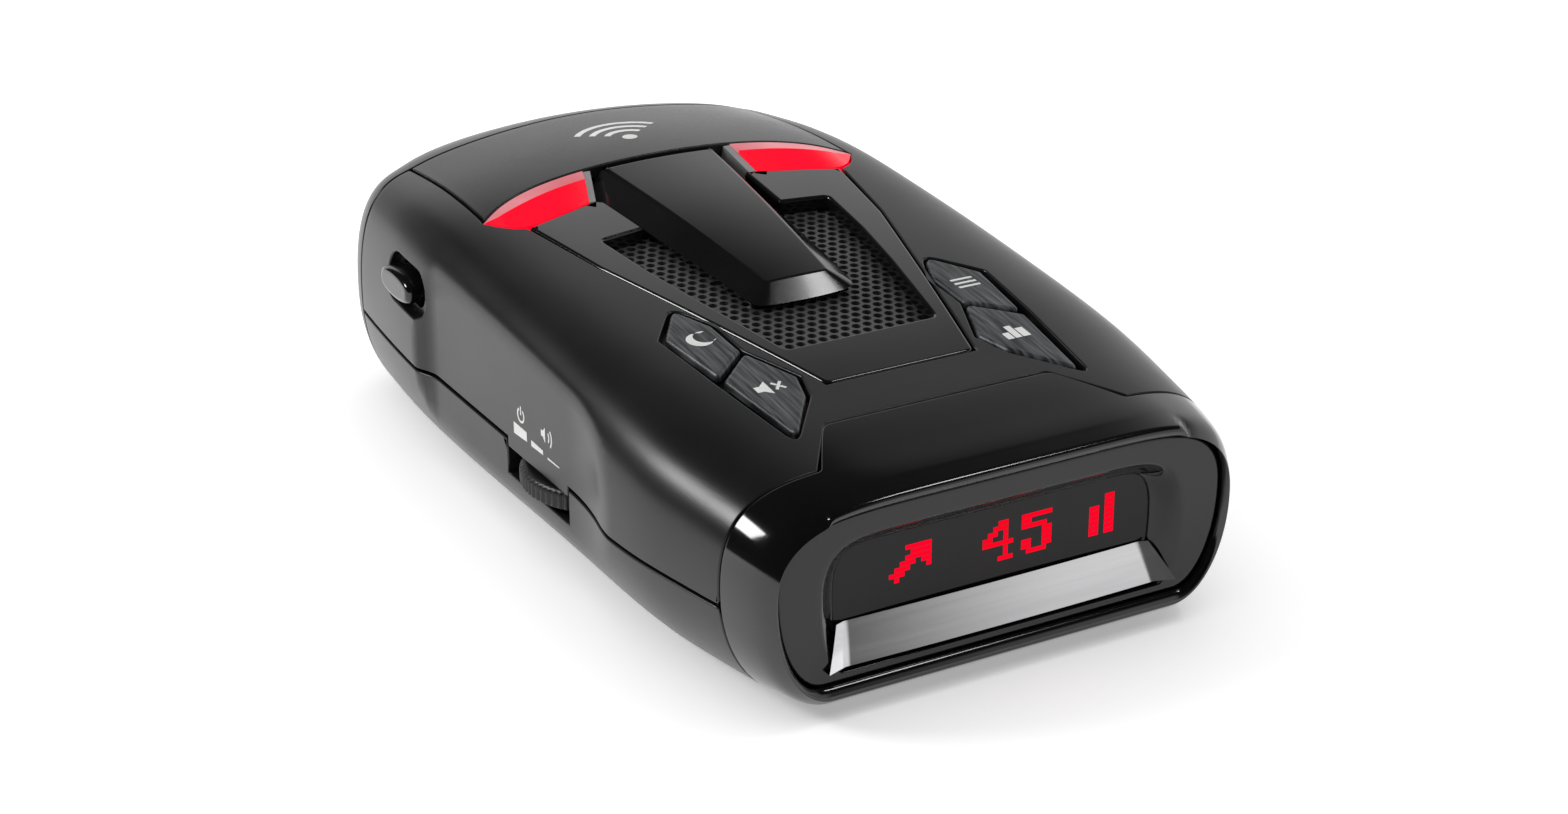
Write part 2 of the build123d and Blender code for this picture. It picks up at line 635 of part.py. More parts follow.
# Fasteners
screws = []
for x, y in SCREW_POINTS:
    head = drum(x, y, 3.1, 4.9, 2.6) - (Pos(x, y, 3.3) * (Box(3.2, 0.7, 1.0) + Box(0.7, 3.2, 1.0)))
    shank = drum(x, y, 4.9, 16.0, 1.2)
    screws.append(head + shank)
save(Compound(children=screws), "case_screws")
board_screws = []
for x, y in BOARD_SCREWS:
    board_screws.append(drum(x, y, BOARD_Z1, BOARD_Z1 + 1.2, 2.0) + drum(x, y, 2.4, BOARD_Z1, 0.85))
save(Compound(children=board_screws), "board_screws")

# ---- bracket release ----------------------------------------------------------------------------

mid_z = (RELEASE_Z0 + RELEASE_Z1) / 2
release = block(RELEASE_OUT_X, FLANGE_X + 0.8, RELEASE_Y0, RELEASE_Y1, RELEASE_Z0, RELEASE_Z1)
release = fillet(release.edges().filter_by(Axis.X), 1.9)
flange = block(
    FLANGE_X, LATCH_X0, RELEASE_Y0 - 1.0, RELEASE_Y1 + 1.0, RELEASE_Z0 - 0.6, RELEASE_Z1 + 0.5
)
release = release + flange
release = fillet(release.faces().sort_by(Axis.X)[0].edges(), 0.7)
save(release, "release_button")

LATCH_Y0, LATCH_Y1 = 44.5, 47.3
LATCH_Z0, LATCH_Z1 = 15.1, 16.5
latch = block(LATCH_X0, -24.0, 27.0, 33.0, 17.5, 24.0)
latch = latch + block(LATCH_X0, -26.4, 27.0, LATCH_Y1, LATCH_Z0, 18.5)
latch = latch + block(LATCH_X0, 13.6, LATCH_Y0, LATCH_Y1, LATCH_Z0, LATCH_Z1)
latch = latch + block(11.6, 13.6, LATCH_Y0, LATCH_Y1, LATCH_Z0, 22.4)
latch = latch + block(8.4, 13.6, LATCH_Y0, LATCH_Y1, 20.0, 21.6)
save(latch, "release_latch")

coil = Helix(pitch=1.5, height=7.2, radius=1.7)
coil = sweep(Plane(coil @ 0, z_dir=coil % 0) * Circle(0.25), path=coil, is_frenet=True)
spring = Pos(-23.55, 30.0, 21.6) * Rot(0, 90, 0) * coil
save(spring, "release_spring")

socket = block(-SOCKET_HALF - SOCKET_WALL, SOCKET_HALF + SOCKET_WALL, SOCKET_Y0 - 1.5, 54.9,
               SOCKET_Z0 - SOCKET_WALL, SOCKET_Z1 + SOCKET_WALL)
socket = socket - block(-SOCKET_HALF, SOCKET_HALF, SOCKET_Y0, 60, SOCKET_Z0, SOCKET_Z1)
socket = socket - block(8, 12, 44.2, 47.8, 19.7, 21.9)
stop = block(-15.6, -12.0, 26.0, 34.0, 18.0, 25.0) + block(-15.6, -8.0, 33.0, 42.0, 18.0, 23.0)
socket = socket + stop
save(socket, "bracket_socket")
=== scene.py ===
import json
import re
from math import cos, pi, radians, sin

import bmesh
import bpy
import numpy as np
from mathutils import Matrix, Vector
from mathutils.geometry import delaunay_2d_cdt


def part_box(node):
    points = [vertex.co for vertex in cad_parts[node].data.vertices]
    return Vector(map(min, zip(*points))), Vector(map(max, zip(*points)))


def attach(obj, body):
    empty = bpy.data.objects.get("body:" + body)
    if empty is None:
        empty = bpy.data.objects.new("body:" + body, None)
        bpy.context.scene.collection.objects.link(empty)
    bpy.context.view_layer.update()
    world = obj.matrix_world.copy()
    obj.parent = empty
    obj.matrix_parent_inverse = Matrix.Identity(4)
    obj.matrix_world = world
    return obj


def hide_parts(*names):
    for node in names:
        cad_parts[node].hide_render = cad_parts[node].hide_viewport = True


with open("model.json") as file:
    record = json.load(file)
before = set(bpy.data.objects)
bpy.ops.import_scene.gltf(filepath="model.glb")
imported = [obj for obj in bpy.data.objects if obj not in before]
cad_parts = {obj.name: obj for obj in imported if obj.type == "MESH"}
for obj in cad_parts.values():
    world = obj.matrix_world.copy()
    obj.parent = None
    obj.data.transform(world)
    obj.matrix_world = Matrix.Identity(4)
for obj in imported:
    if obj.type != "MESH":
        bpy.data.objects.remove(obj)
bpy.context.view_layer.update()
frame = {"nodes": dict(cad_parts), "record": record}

# All shapes below are worked out in millimetres and scaled to metres when a mesh is made.
MM = 0.001

# Skin of the case: y, half width, top height, belly height, squareness of the shoulder, and the
# width of the rounded lower corner
STATIONS = [
    (-57.5, 29.5, 24.5, 2.8, 6.0, 7.2),
    (-56.4, 30.2, 25.3, 1.9, 6.4, 8.0),
    (-54.0, 31.2, 26.0, 1.2, 6.9, 9.0),
    (-50.0, 32.2, 26.5, 0.6, 7.2, 10.0),
    (-43.0, 33.5, 27.35, 0.1, 7.3, 11.0),
    (-36.0, 34.6, 28.15, 0.0, 7.6, 11.3),
    (-29.0, 35.1, 28.95, 0.0, 8.2, 11.6),
    (-15.0, 35.2, 30.3, 0.0, 9.2, 11.9),
    (0.0, 35.2, 31.5, 0.0, 9.8, 11.6),
    (14.0, 35.0, 32.45, 0.0, 10.2, 10.6),
    (26.0, 34.6, 33.0, 0.0, 10.5, 9.8),
    (36.0, 33.9, 32.8, 0.0, 10.3, 9.2),
    (45.0, 33.0, 32.0, 0.0, 9.7, 9.0),
    (50.5, 31.8, 31.1, 0.0, 9.2, 9.0),
    (54.0, 29.8, 29.9, 0.7, 7.9, 9.0),
    (56.3, 26.6, 28.3, 1.8, 5.8, 9.0),
    (57.5, 22.5, 26.2, 3.6, 4.4, 9.0),
]
CREST = [(14.0, 35.2), (26.0, 35.8), (36.0, 35.6), (45.0, 34.8), (50.5, 33.9), (54.0, 32.7),
         (56.3, 30.8), (57.5, 28.4)]
RIM = [(0.0, 48.7), (13.0, 48.0), (25.0, 47.2), (33.0, 46.8), (40.0, 46.6)]
SPINE_TOP = [(-12.0, 31.1), (-4.0, 32.3), (10.0, 34.1), (26.0, 35.6)]
BELT = 15.0
SHOULDER = 2.5
FLAT_SHARE = 0.8
PANEL_Y = 25.6
PANEL_SAG = 4.3
PANEL_TIP_X = 26.2
RECESS_X = 33.27
SEAM_Z = 13.1
GAP = 0.13
FRONT_SEAM = -50.0
REAR_Y = 57.5

# Signed distance round the section: top run, shoulder, lower corner, underside
A_TOP, A_BELT, A_CORNER, A_END = 27.5, 42.0, 59.0, 84.0


def natural_spline(points):
    """Smooth curve through (x, value) points, straight at its two ends."""
    xs = np.array([p[0] for p in points])
    ys = np.array([p[1] for p in points])
    n = len(xs)
    h = np.diff(xs)
    left = np.eye(n)
    right = np.zeros(n)
    for i in range(1, n - 1):
        left[i, i - 1 : i + 2] = h[i - 1], 2 * (h[i - 1] + h[i]), h[i]
        right[i] = 6 * ((ys[i + 1] - ys[i]) / h[i] - (ys[i] - ys[i - 1]) / h[i - 1])
    m = np.linalg.solve(left, right)

    def value(x):
        x = np.clip(x, xs[0], xs[-1])
        i = np.clip(np.searchsorted(xs, x) - 1, 0, n - 2)
        t, u, w = x - xs[i], xs[i + 1] - x, h[i]
        bend = (m[i] * u**3 + m[i + 1] * t**3) / (6 * w)
        return bend + (ys[i] / w - m[i] * w / 6) * u + (ys[i + 1] / w - m[i + 1] * w / 6) * t

    return value


half_at, top_at, belly_at, power_at, corner_at = (
    natural_spline([(s[0], s[k]) for s in STATIONS]) for k in (1, 2, 3, 4, 5)
)
crest_at = natural_spline(CREST)
spine_top_at = natural_spline(SPINE_TOP)
rim_curve = natural_spline([(-x, y) for x, y in RIM[:0:-1]] + RIM)


def panel_half(y):
    """Half width of the raised front top panel, which narrows towards the windshield end."""
    return 26.05 - 0.045 * (y - 22.0)


def panel_edge(x):
    """Near edge of the raised panel: almost straight across, then swept back at its ends."""
    return PANEL_Y - PANEL_SAG * (np.abs(x) / PANEL_TIP_X) ** 5


def smooth_min(a, b, k):
    h = np.clip(0.5 + 0.5 * (b - a) / k, 0, 1)
    return b * (1 - h) + a * h - k * h * (1 - h)


def recess_limit(y):
    """Half width that the side recess allows at y: flat in the middle, with an S-bend at each end."""
    near = np.clip(-15.7 - y, 0, None)
    far = np.clip(y - 21.1, 0, None)
    return RECESS_X + 0.0118 * near**2 + 0.09 * far**2


def run_xz(a, half, top, belt, belly, power, corner):
    """Point (x, z) of a closed section at signed distance a from its top centre."""
    side = np.where(a < 0, -1.0, 1.0)
    b = np.minimum(np.abs(a), A_END)
    rise = top - belt
    flat = FLAT_SHARE * half * np.minimum(b, A_TOP) / A_TOP
    z_flat = belt + rise * (1 - (flat / half) ** power) ** (1 / SHOULDER)
    t0 = np.arccos(FLAT_SHARE ** (power / 2))
    t = t0 * np.clip(1 - (b - A_TOP) / (A_BELT - A_TOP), 0, 1)
    x_round = half * np.cos(t) ** (2 / power)
    z_round = belt + rise * np.sin(t) ** (2 / SHOULDER)
    s = 0.5 * pi * np.clip((b - A_BELT) / (A_CORNER - A_BELT), 0, 1)
    x_low = half - corner + corner * np.cos(s)
    z_low = belt - (belt - belly) * np.sin(s)
    under = np.clip((b - A_CORNER) / (A_END - A_CORNER), 0, 1)
    x_low = x_low - (half - corner) * under
    x = np.where(b <= A_TOP, flat, np.where(b <= A_BELT, x_round, x_low))
    z = np.where(b <= A_TOP, z_flat, np.where(b <= A_BELT, z_round, z_low))
    return side * x, z


def wrapped(a):
    return (a + A_END) % (2 * A_END) - A_END


def case_skin(domed):
    """Outer surface of the case, with or without the raised dome at the windshield end."""

    def point(a, y):
        a = wrapped(np.asarray(a, float))
        y = np.asarray(y, float)
        half, top = half_at(y), top_at(y)
        if domed:
            across = FLAT_SHARE * half * np.clip(np.abs(a) / A_TOP, 0, 1.3) / panel_half(y)
            bulge = -smooth_min(across**2 - 1, 0 * across, 0.12)
            top = top + (crest_at(y) - top) * bulge
        x, z = run_xz(a, half, top, BELT, belly_at(y), power_at(y), corner_at(y))
        x = np.sign(x) * smooth_min(np.abs(x), recess_limit(y), 0.7)
        return xyz(x, y, z)

    return point


flat_skin = case_skin(False)
domed_skin = case_skin(True)


def unit(v):
    return v / np.maximum(np.linalg.norm(v, axis=-1, keepdims=True), 1e-12)


def levelled(v, up):
    """Unit part of v at right angles to the unit vectors up."""
    return unit(v - np.sum(v * up, -1, keepdims=True) * up)


def xyz(x, y, z):
    """Stacks coordinates into points; a single number stands for all of them."""
    return np.stack(np.broadcast_arrays(x, y, z), -1).astype(float)


def normals_of(skin, p):
    """Outward unit normals of a skin at domain points, by differences."""
    e = 0.02
    du = skin(p[:, 0] + e, p[:, 1]) - skin(p[:, 0] - e, p[:, 1])
    dv = skin(p[:, 0], p[:, 1] + e) - skin(p[:, 0], p[:, 1] - e)
    return unit(np.cross(du, dv))


def top_domain(x, y):
    """Domain point over plan point (x, y) of the top."""
    return x * A_TOP / (FLAT_SHARE * float(half_at(y))), y


def side_domain(side, y, z):
    """Domain point on a side wall at (y, z)."""
    if z >= BELT:
        rise = float(top_at(y)) - BELT
        t0 = np.arccos(FLAT_SHARE ** (float(power_at(y)) / 2))
        t = np.arcsin(min(((z - BELT) / rise) ** (SHOULDER / 2), 1.0))
        a = A_TOP + (A_BELT - A_TOP) * (1 - t / t0)
    else:
        s = np.arcsin((BELT - z) / (BELT - float(belly_at(y))))
        a = A_BELT + (A_CORNER - A_BELT) * s / (0.5 * pi)
    return side * a, y


# ---- outlines ----


def rounded(corners, step=1.0, arc=6):
    """Closed outline through (x, y, radius) corners, with arcs at the corners and even runs between."""
    n = len(corners)
    loop = []
    for i in range(n):
        p = np.array(corners[i][:2], float)
        back = np.array(corners[i - 1][:2], float) - p
        ahead = np.array(corners[(i + 1) % n][:2], float) - p
        r = corners[i][2]
        ub, ua = back / np.linalg.norm(back), ahead / np.linalg.norm(ahead)
        half_turn = 0.5 * np.arccos(np.clip(np.dot(ub, ua), -1, 1))
        if r <= 0 or abs(half_turn - 0.5 * pi) < 0.02:
            loop.append(p)
            continue
        reach = min(r / np.tan(half_turn), 0.45 * np.linalg.norm(back), 0.45 * np.linalg.norm(ahead))
        start, end = p + ub * reach, p + ua * reach
        for k in range(arc + 1):
            t = k / arc
            loop.append((1 - t) ** 2 * start + 2 * t * (1 - t) * p + t**2 * end)
    return evened(loop, step)


def evened(loop, step):
    """The same closed outline with no run longer than step."""
    out = []
    for i, p in enumerate(loop):
        q = loop[(i + 1) % len(loop)]
        p, q = np.array(p, float), np.array(q, float)
        count = max(1, int(np.ceil(np.linalg.norm(q - p) / step)))
        out += [p + (q - p) * k / count for k in range(count)]
    return np.array(out)


def on_top(loop):
    return np.array([top_domain(x, y) for x, y in loop])


def mirrored(corners):
    """The other side's copy of an outline, turned to run the same way round."""
    return [(-x, *rest) for x, *rest in reversed(corners)]


def box_corners(x0, y0, x1, y1, *radius):
    """Corners of an upright rectangle, anticlockwise, each with the radius if one is given."""
    return [(x0, y0, *radius), (x1, y0, *radius), (x1, y1, *radius), (x0, y1, *radius)]


def circle(x, y, r, count=28):
    turns = [2 * pi * k / count for k in range(count)]
    return np.array([(x + r * cos(t), y + r * sin(t)) for t in turns])


def turned_ccw(loop):
    x, y = loop[:, 0], loop[:, 1]
    area = np.sum(x * np.roll(y, -1) - np.roll(x, -1) * y)
    return loop if area > 0 else loop[::-1]


def lefts(loop):
    """Unit direction to the left of travel at each point of a closed loop, with mitred length."""
    ahead = unit(np.roll(loop, -1, 0) - loop)
    behind = unit(loop - np.roll(loop, 1, 0))
    n1 = np.stack([-ahead[:, 1], ahead[:, 0]], -1)
    n0 = np.stack([-behind[:, 1], behind[:, 0]], -1)
    mid = unit(n0 + n1)
    return mid / np.maximum(np.sum(mid * n1, -1, keepdims=True), 0.5)


def inside(points, loops):
    """True where a point is inside the outer loop and outside the holes, by even crossings."""
    hit = np.zeros(len(points), bool)
    for loop in loops:
        nxt = np.roll(loop, -1, 0)
        for (x0, y0), (x1, y1) in zip(loop, nxt):
            if y0 == y1:
                continue
            spans = (points[:, 1] < y0) != (points[:, 1] < y1)
            cross = x0 + (points[:, 1] - y0) * (x1 - x0) / (y1 - y0)
            hit ^= spans & (points[:, 0] < cross)
    return hit


def clearance(points, loops):
    """Distance of each point from the nearest outline."""
    best = np.full(len(points), 1e9)
    for loop in loops:
        nxt = np.roll(loop, -1, 0)
        for p, q in zip(loop, nxt):
            d = q - p
            t = np.clip((points - p) @ d / max(d @ d, 1e-12), 0, 1)
            best = np.minimum(best, np.linalg.norm(points - p - t[:, None] * d, axis=1))
    return best


# ---- meshes ----


def linked(name, data):
    made = bpy.data.objects.new(name, data)
    bpy.context.scene.collection.objects.link(made)
    return made


class Sheet:
    """Collects points and faces with a normal for each corner, then makes one mesh object."""

    def __init__(self):
        self.points, self.faces, self.normals = [], [], []
        self.count = 0

    def add(self, points):
        start = self.count
        self.points.append(np.asarray(points, float))
        self.count += len(points)
        return start

    def face(self, corners, normals):
        self.faces.append(tuple(int(c) for c in corners))
        self.normals += [tuple(n) for n in normals]

    def strip(self, first, second, n_first, n_second):
        """Closes the band between two loops of equal length."""
        n = len(n_first)
        for i in range(n):
            j = (i + 1) % n
            self.face(
                (first + i, second + i, second + j, first + j),
                (n_first[i], n_second[i], n_second[j], n_first[j]),
            )

    def object(self, name):
        mesh = bpy.data.meshes.new(name)
        mesh.from_pydata((np.concatenate(self.points) * MM).tolist(), [], self.faces)
        mesh.polygons.foreach_set("use_smooth", [True] * len(mesh.polygons))
        mesh.normals_split_custom_set(self.normals)
        return linked(name, mesh)


def triangulate(loops, step):
    """Triangles over a region: even points inside, outline points on its edges, which come first."""
    rims = np.concatenate(loops)
    low, high = rims.min(0), rims.max(0)
    xs = np.arange(low[0] + step / 2, high[0], step)
    ys = np.arange(low[1] + step / 2, high[1], step)
    grid = np.stack(np.meshgrid(xs, ys), -1).reshape(-1, 2)
    grid = grid[inside(grid, loops)]
    grid = grid[clearance(grid, loops) > 0.45 * step]
    points = np.concatenate([rims, grid])
    edges = []
    start = 0
    for loop in loops:
        edges += [(start + i, start + (i + 1) % len(loop)) for i in range(len(loop))]
        start += len(loop)
    found = delaunay_2d_cdt([Vector(p) for p in points], edges, [], 0, 1e-7)
    source = {new: olds[-1] for new, olds in enumerate(found[3]) if olds}
    new_points = np.array([tuple(v) for v in found[0]])
    triangles = np.array(found[2])
    keep = triangles[inside(new_points[triangles].mean(1), loops)]
    keep = np.array([[source.get(c, -1) for c in t] for t in keep])
    return points, keep[(keep >= 0).all(1)]


def plate(sheet, skin, outer, holes=(), step=1.0, edge=0.22, depth=1.5, lift=0.0, arcs=4, feet=None):
    """Closed shell over a region of a skin, with rolled edges and walls going inwards.

    feet, if given, are the points where the walls end, one for each point of the outer loop."""
    loops = [turned_ccw(np.asarray(outer, float))]
    loops += [turned_ccw(np.asarray(h, float))[::-1] for h in holes]
    shifts = [lefts(loop) for loop in loops]
    inner = [loop + s * edge for loop, s in zip(loops, shifts)]
    points, triangles = triangulate(inner, step)
    up = normals_of(skin, points)
    top = skin(*points.T) + up * lift
    first = sheet.add(top)
    for t in triangles:
        sheet.face(first + t, up[t])
    low = sheet.add(top - up * depth) if feet is None else None
    start = 0
    for number, (at, shift) in enumerate(zip(inner, shifts)):
        slanted = feet is not None and number == 0
        up_here = up[start : start + len(at)]
        base = top[start : start + len(at)]
        side = levelled(skin(*(at - shift * 0.05).T) + up_here * lift - base, up_here)
        if slanted:
            run = unit(np.roll(base, -1, 0) - np.roll(base, 1, 0))
            slope = unit(np.cross(feet - base, run))
            side = np.where(np.sum(slope * side, -1, keepdims=True) < 0, -slope, slope)
        centre = base - up_here * edge
        before, n_before = first + start, up_here
        for k in range(1, arcs + 1):
            share = k / arcs
            weights = (cos(share * pi / 2), sin(share * pi / 2)) if feet is None else (1 - share, share)
            turn = unit(up_here * weights[0] + side * weights[1])
            ring = sheet.add(centre + turn * edge)
            sheet.strip(before, ring, n_before, turn)
            before, n_before = ring, turn
        wall = sheet.add(feet if slanted else centre + side * edge - up_here * (depth - edge))
        sheet.strip(before, wall, side, side)
        if low is not None:
            sheet.strip(wall, low + start, -up_here, -up_here)
        start += len(at)
    if low is not None:
        for t in triangles:
            sheet.face(low + t[::-1], -up[t[::-1]])




def painted(made, look):
    made.data.materials.clear()
    made.data.materials.append(look)


def piece(made, body, look, nodes=()):
    painted(made, look)
    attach(made, body)
    if nodes:
        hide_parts(*nodes)


def finished(sheet, name, body, look, nodes=()):
    """Turns a sheet into a named piece of the model."""
    piece(sheet.object(name), body, look, nodes)


def plated_piece(name, slot, look, node, skin, outline, body="case", **form):
    """Piece made of one plate."""
    sheet = Sheet()
    plate(sheet, skin, outline, **form)
    finished(sheet, name, body, look, [node])


# ---- materials ----


def new_material(name):
    mat = bpy.data.materials.new(name)
    mat.use_nodes = True
    tree = mat.node_tree
    place = tree.nodes.new("ShaderNodeTexCoord").outputs["Object"]
    return mat, tree, tree.nodes["Principled BSDF"], place


def wired(tree, node, inputs):
    """Fills a node's inputs: a socket is linked, and anything else is set as a plain value."""
    for key, value in inputs.items():
        if isinstance(value, bpy.types.NodeSocket):
            tree.links.new(value, node.inputs[key])
        else:
            node.inputs[key].default_value = value
    return node


def add_node(tree, kind, inputs):
    return wired(tree, tree.nodes.new("ShaderNode" + kind), inputs)


def noise(tree, place, scale, detail=2.0, stretch=None, turn=0.0):
    """Noise in the object's own space, drawn out along some axes if stretch is given."""
    if stretch:
        spaced = {"Vector": place, "Scale": stretch, "Rotation": (0, 0, turn)}
        place = add_node(tree, "Mapping", spaced).outputs["Vector"]
    return add_node(tree, "TexNoise", {"Vector": place, "Scale": scale, "Detail": detail}).outputs["Fac"]


def ramp(tree, source, low, high, start=0.35, end=0.65):
    made = add_node(tree, "ValToRGB", {"Fac": source})
    for stop, at, colour in zip(made.color_ramp.elements, (start, end), (low, high)):
        stop.position = at
        stop.color = (*colour, 1)
    return made.outputs["Color"]


def spread(tree, source, low, high):
    return add_node(tree, "MapRange", {"Value": source, "To Min": low, "To Max": high}).outputs["Result"]


def bump(tree, source, strength, distance):
    inputs = {"Height": source, "Strength": strength, "Distance": distance}
    return add_node(tree, "Bump", inputs).outputs["Normal"]


def greys(dark, light, tint=0.0005):
    """Dark and light shade of a grey with a slight tint of blue."""
    return [(v, v, v + tint) for v in (dark, light)]


def plastic(name, shades, rough, uneven, grain=None, coat=0.0, coat_rough=0.05, ior=1.5):
    """Moulded plastic: soft mottling, uneven gloss and, on textured parts, a spark-eroded grain."""
    mat, tree, shader, place = new_material(name)
    smear = noise(tree, place, 140.0, 4.0)
    wired(tree, shader, {
        "Base Color": ramp(tree, noise(tree, place, 60.0, 3.0), *shades),
        "Roughness": spread(tree, smear, rough - uneven, rough + uneven),
        "IOR": ior, "Coat Weight": coat, "Coat Roughness": coat_rough})
    if grain:
        scale, strength, distance = grain
        wired(tree, shader, {"Normal": bump(tree, noise(tree, place, scale), strength, distance)})
    return mat


def streaked(name):
    """Dark grey key tops with fine diagonal hairlines."""
    mat, tree, shader, place = new_material(name)
    lines = noise(tree, place, 2400.0, 3.0, (1.0, 0.06, 0.3), radians(52))
    wired(tree, shader, {
        "Base Color": ramp(tree, lines, (0.020, 0.021, 0.023), (0.13, 0.135, 0.14), 0.38, 0.70),
        "Roughness": spread(tree, lines, 0.30, 0.46), "Metallic": 0.35,
        "Normal": bump(tree, lines, 0.25, 0.00005)})
    return mat


def plated(name, shades, rough, stretch=(0.03, 1.0, 1.0)):
    """Plated or rolled metal with fine directional marks."""
    mat, tree, shader, place = new_material(name)
    lines = noise(tree, place, 500.0, 3.0, stretch)
    wired(tree, shader, {
        "Base Color": ramp(tree, lines, *shades),
        "Roughness": spread(tree, lines, rough - 0.05, rough + 0.07), "Metallic": 1.0})
    return mat


def glowing(name, dark, light, strength, rough=0.25, gloss=0.5):
    """Lit red plastic: the colour deepens unevenly where the light guide is thicker. Also paints the lighter
    sheen on the lens facet.
    """
    mat, tree, shader, place = new_material(name)
    wired(tree, shader, {
        "Base Color": (0.16, 0.002, 0.006, 1), "Emission Strength": strength,
        "Emission Color": ramp(tree, noise(tree, place, 160.0), dark, light, 0.3, 0.7),
        "Specular IOR Level": gloss, "Roughness": rough})
    return mat


housing_look = plastic("housing_plastic", greys(0.006, 0.009), 0.30, 0.03, (5200.0, 0.22, 0.00004))
panel_look = plastic("panel_lacquer", greys(0.010, 0.014), 0.27, 0.03, (3800.0, 0.10, 0.00003))
gloss_look = plastic("gloss_plastic", greys(0.0035, 0.005), 0.11, 0.02, coat=0.4, coat_rough=0.08)
trim_look = plastic("trim_plastic", greys(0.004, 0.007), 0.14, 0.02, (4200.0, 0.05, 0.00002), 0.2, 0.06)
insert_look = plastic("insert_plastic", greys(0.004, 0.006), 0.11, 0.03, ior=1.48)
grille_look = plastic("grille_metal", [(0.030, 0.030, 0.0305), (0.052, 0.052, 0.053)], 0.36, 0.06)
window_look = plastic("window_smoke", [(0.005, 0.004, 0.004), (0.007, 0.005, 0.005)], 0.10, 0.03, ior=1.33)
rubber_look = plastic("wheel_rubber", greys(0.007, 0.014), 0.38, 0.06, (3000.0, 0.2, 0.00004))
cheek_look = plastic("cheek_plastic", greys(0.22, 0.34, 0.005), 0.35, 0.05)
paint_look = plastic("legend_paint", greys(0.62, 0.78, -0.01), 0.45, 0.06)
optic_look = plastic("laser_optic", [(0.03, 0.002, 0.004), (0.05, 0.004, 0.006)], 0.05, 0.02)
key_look = streaked("key_hairline")
sill_look = plated("sill_plating", greys(0.62, 0.74, 0.01), 0.11)
metal_look = plated("jack_metal", greys(0.42, 0.62, 0.01), 0.25)
lens_look = glowing("lens_red", (0.92, 0.0, 0.018), (1.0, 0.001, 0.024), 0.95)
# Painted sheen: the bevelled facet glows a paler, lighter pink than the lens face. This paints light
# catching the bevel on top of the lens's own red glow.
lens_facet_sheen_look = glowing("lens_facet_painted_sheen", (0.80, 0.24, 0.28), (0.95, 0.40, 0.44), 0.62, 0.3)
readout_look = glowing("readout_red", (0.92, 0.0, 0.012), (1.0, 0.0, 0.02), 1.0, 0.4, 0.0)


# ---- case ----


def rim_y(a):
    """Where the front cover's seam crosses the section distance a."""
    y = np.full(np.shape(a), 50.0)
    for _ in range(30):
        y = 0.5 * y + 0.5 * rim_curve(np.clip(domed_skin(a, y)[..., 0], -40, 40))
    return y



def seam_a(y, z):
    return side_domain(1, y, z)[0]


TRIM = [(22.25, 16.75, 0.8), (19.7, 2.5, 0), (15.2, -14.3, 0), (9.8, -34.2, 1.2)]
VISOR_FAR = (14.4, -41.9)
VISOR_NEAR = (20.0, FRONT_SEAM)
SLOT_Y = (-15.6, 1.0)
SLOT_Z = (8.6, 11.9)


def seam_run(side, z, ys, notch=None):
    """Seam points along one side, with the thumbwheel's notch where there is one."""
    out = []
    for y in ys:
        level = z
        if notch is not None and SLOT_Y[0] + notch[1] < y < SLOT_Y[1] - notch[1]:
            level = notch[0]
        out.append((side * seam_a(y, level), y))
    return out


def seam_ys(y0, y1, clear):
    """Even steps along the seam, with the corners of the thumbwheel's notch among them."""
    ys = list(np.arange(y0, y1, 1.0)) + [y1]
    ys += [edge + gap + step for edge in SLOT_Y for gap in (-clear, clear) for step in (-0.02, 0.02)]
    return sorted(set(y for y in ys if y0 <= y <= y1))


def far_seam_y(seam):
    """Where a side seam meets the front cover."""
    return float(rim_y(seam_a(37.0, seam))) - GAP


def rim_run(steps):
    return [(a, float(rim_y(a)) - GAP) for a in steps]


def upper_outline():
    """Outline of the upper housing, from its near left corner round to the same corner."""
    near = FRONT_SEAM + GAP
    seam = SEAM_Z + GAP
    near_edge = [(-seam_a(near, seam), near)]
    visor = [(-VISOR_NEAR[0] - GAP, near, 0.4), (-VISOR_FAR[0] - GAP, VISOR_FAR[1] + GAP, 1.2),
             (VISOR_FAR[0] + GAP, VISOR_FAR[1] + GAP, 1.2), (VISOR_NEAR[0] + GAP, near, 0.4)]
    ys = seam_ys(near, far_seam_y(seam), 0.1)
    right = seam_run(1, seam, ys)
    left = seam_run(-1, seam, ys, (SLOT_Z[1], 0.1))[::-1]
    corner_y = float(rim_curve(panel_half(47.0)))
    a_panel = top_domain(panel_half(corner_y) + GAP, corner_y)[0]
    right_rim = rim_run(np.linspace(right[-1][0], a_panel, 24)[1:])
    down = [(panel_half(y) + GAP, y) for y in np.linspace(corner_y - 1.0, 22.2, 26)]
    lens_side = [(26.35, 21.3), (25.3, 19.25), (24.6, 18.35), (23.75, 17.5), (23.0, 17.1)]
    trim_side = [(x + GAP, y) for x, y, _ in TRIM]
    trim_side[-1] = (trim_side[-1][0], trim_side[-1][1] - GAP)
    top_right = down + lens_side + trim_side
    inner = [top_domain(x, y) for x, y in top_right + mirrored(top_right)]
    path = near_edge + visor_edge(visor) + right + right_rim + inner + mirrored(right_rim) + left
    return evened(path, 1.0)



def visor_edge(corners):
    """Rounded open path along the visor's notch in the near edge."""
    anchors = [(corners[0][0] - 4, corners[0][1], 0)] + corners + [(corners[-1][0] + 4, corners[-1][1], 0)]
    closed = rounded(anchors + [(0, -70, 0)], 1.0)
    return [tuple(top_domain(x, y)) for x, y in closed if y >= FRONT_SEAM + GAP - 0.001]


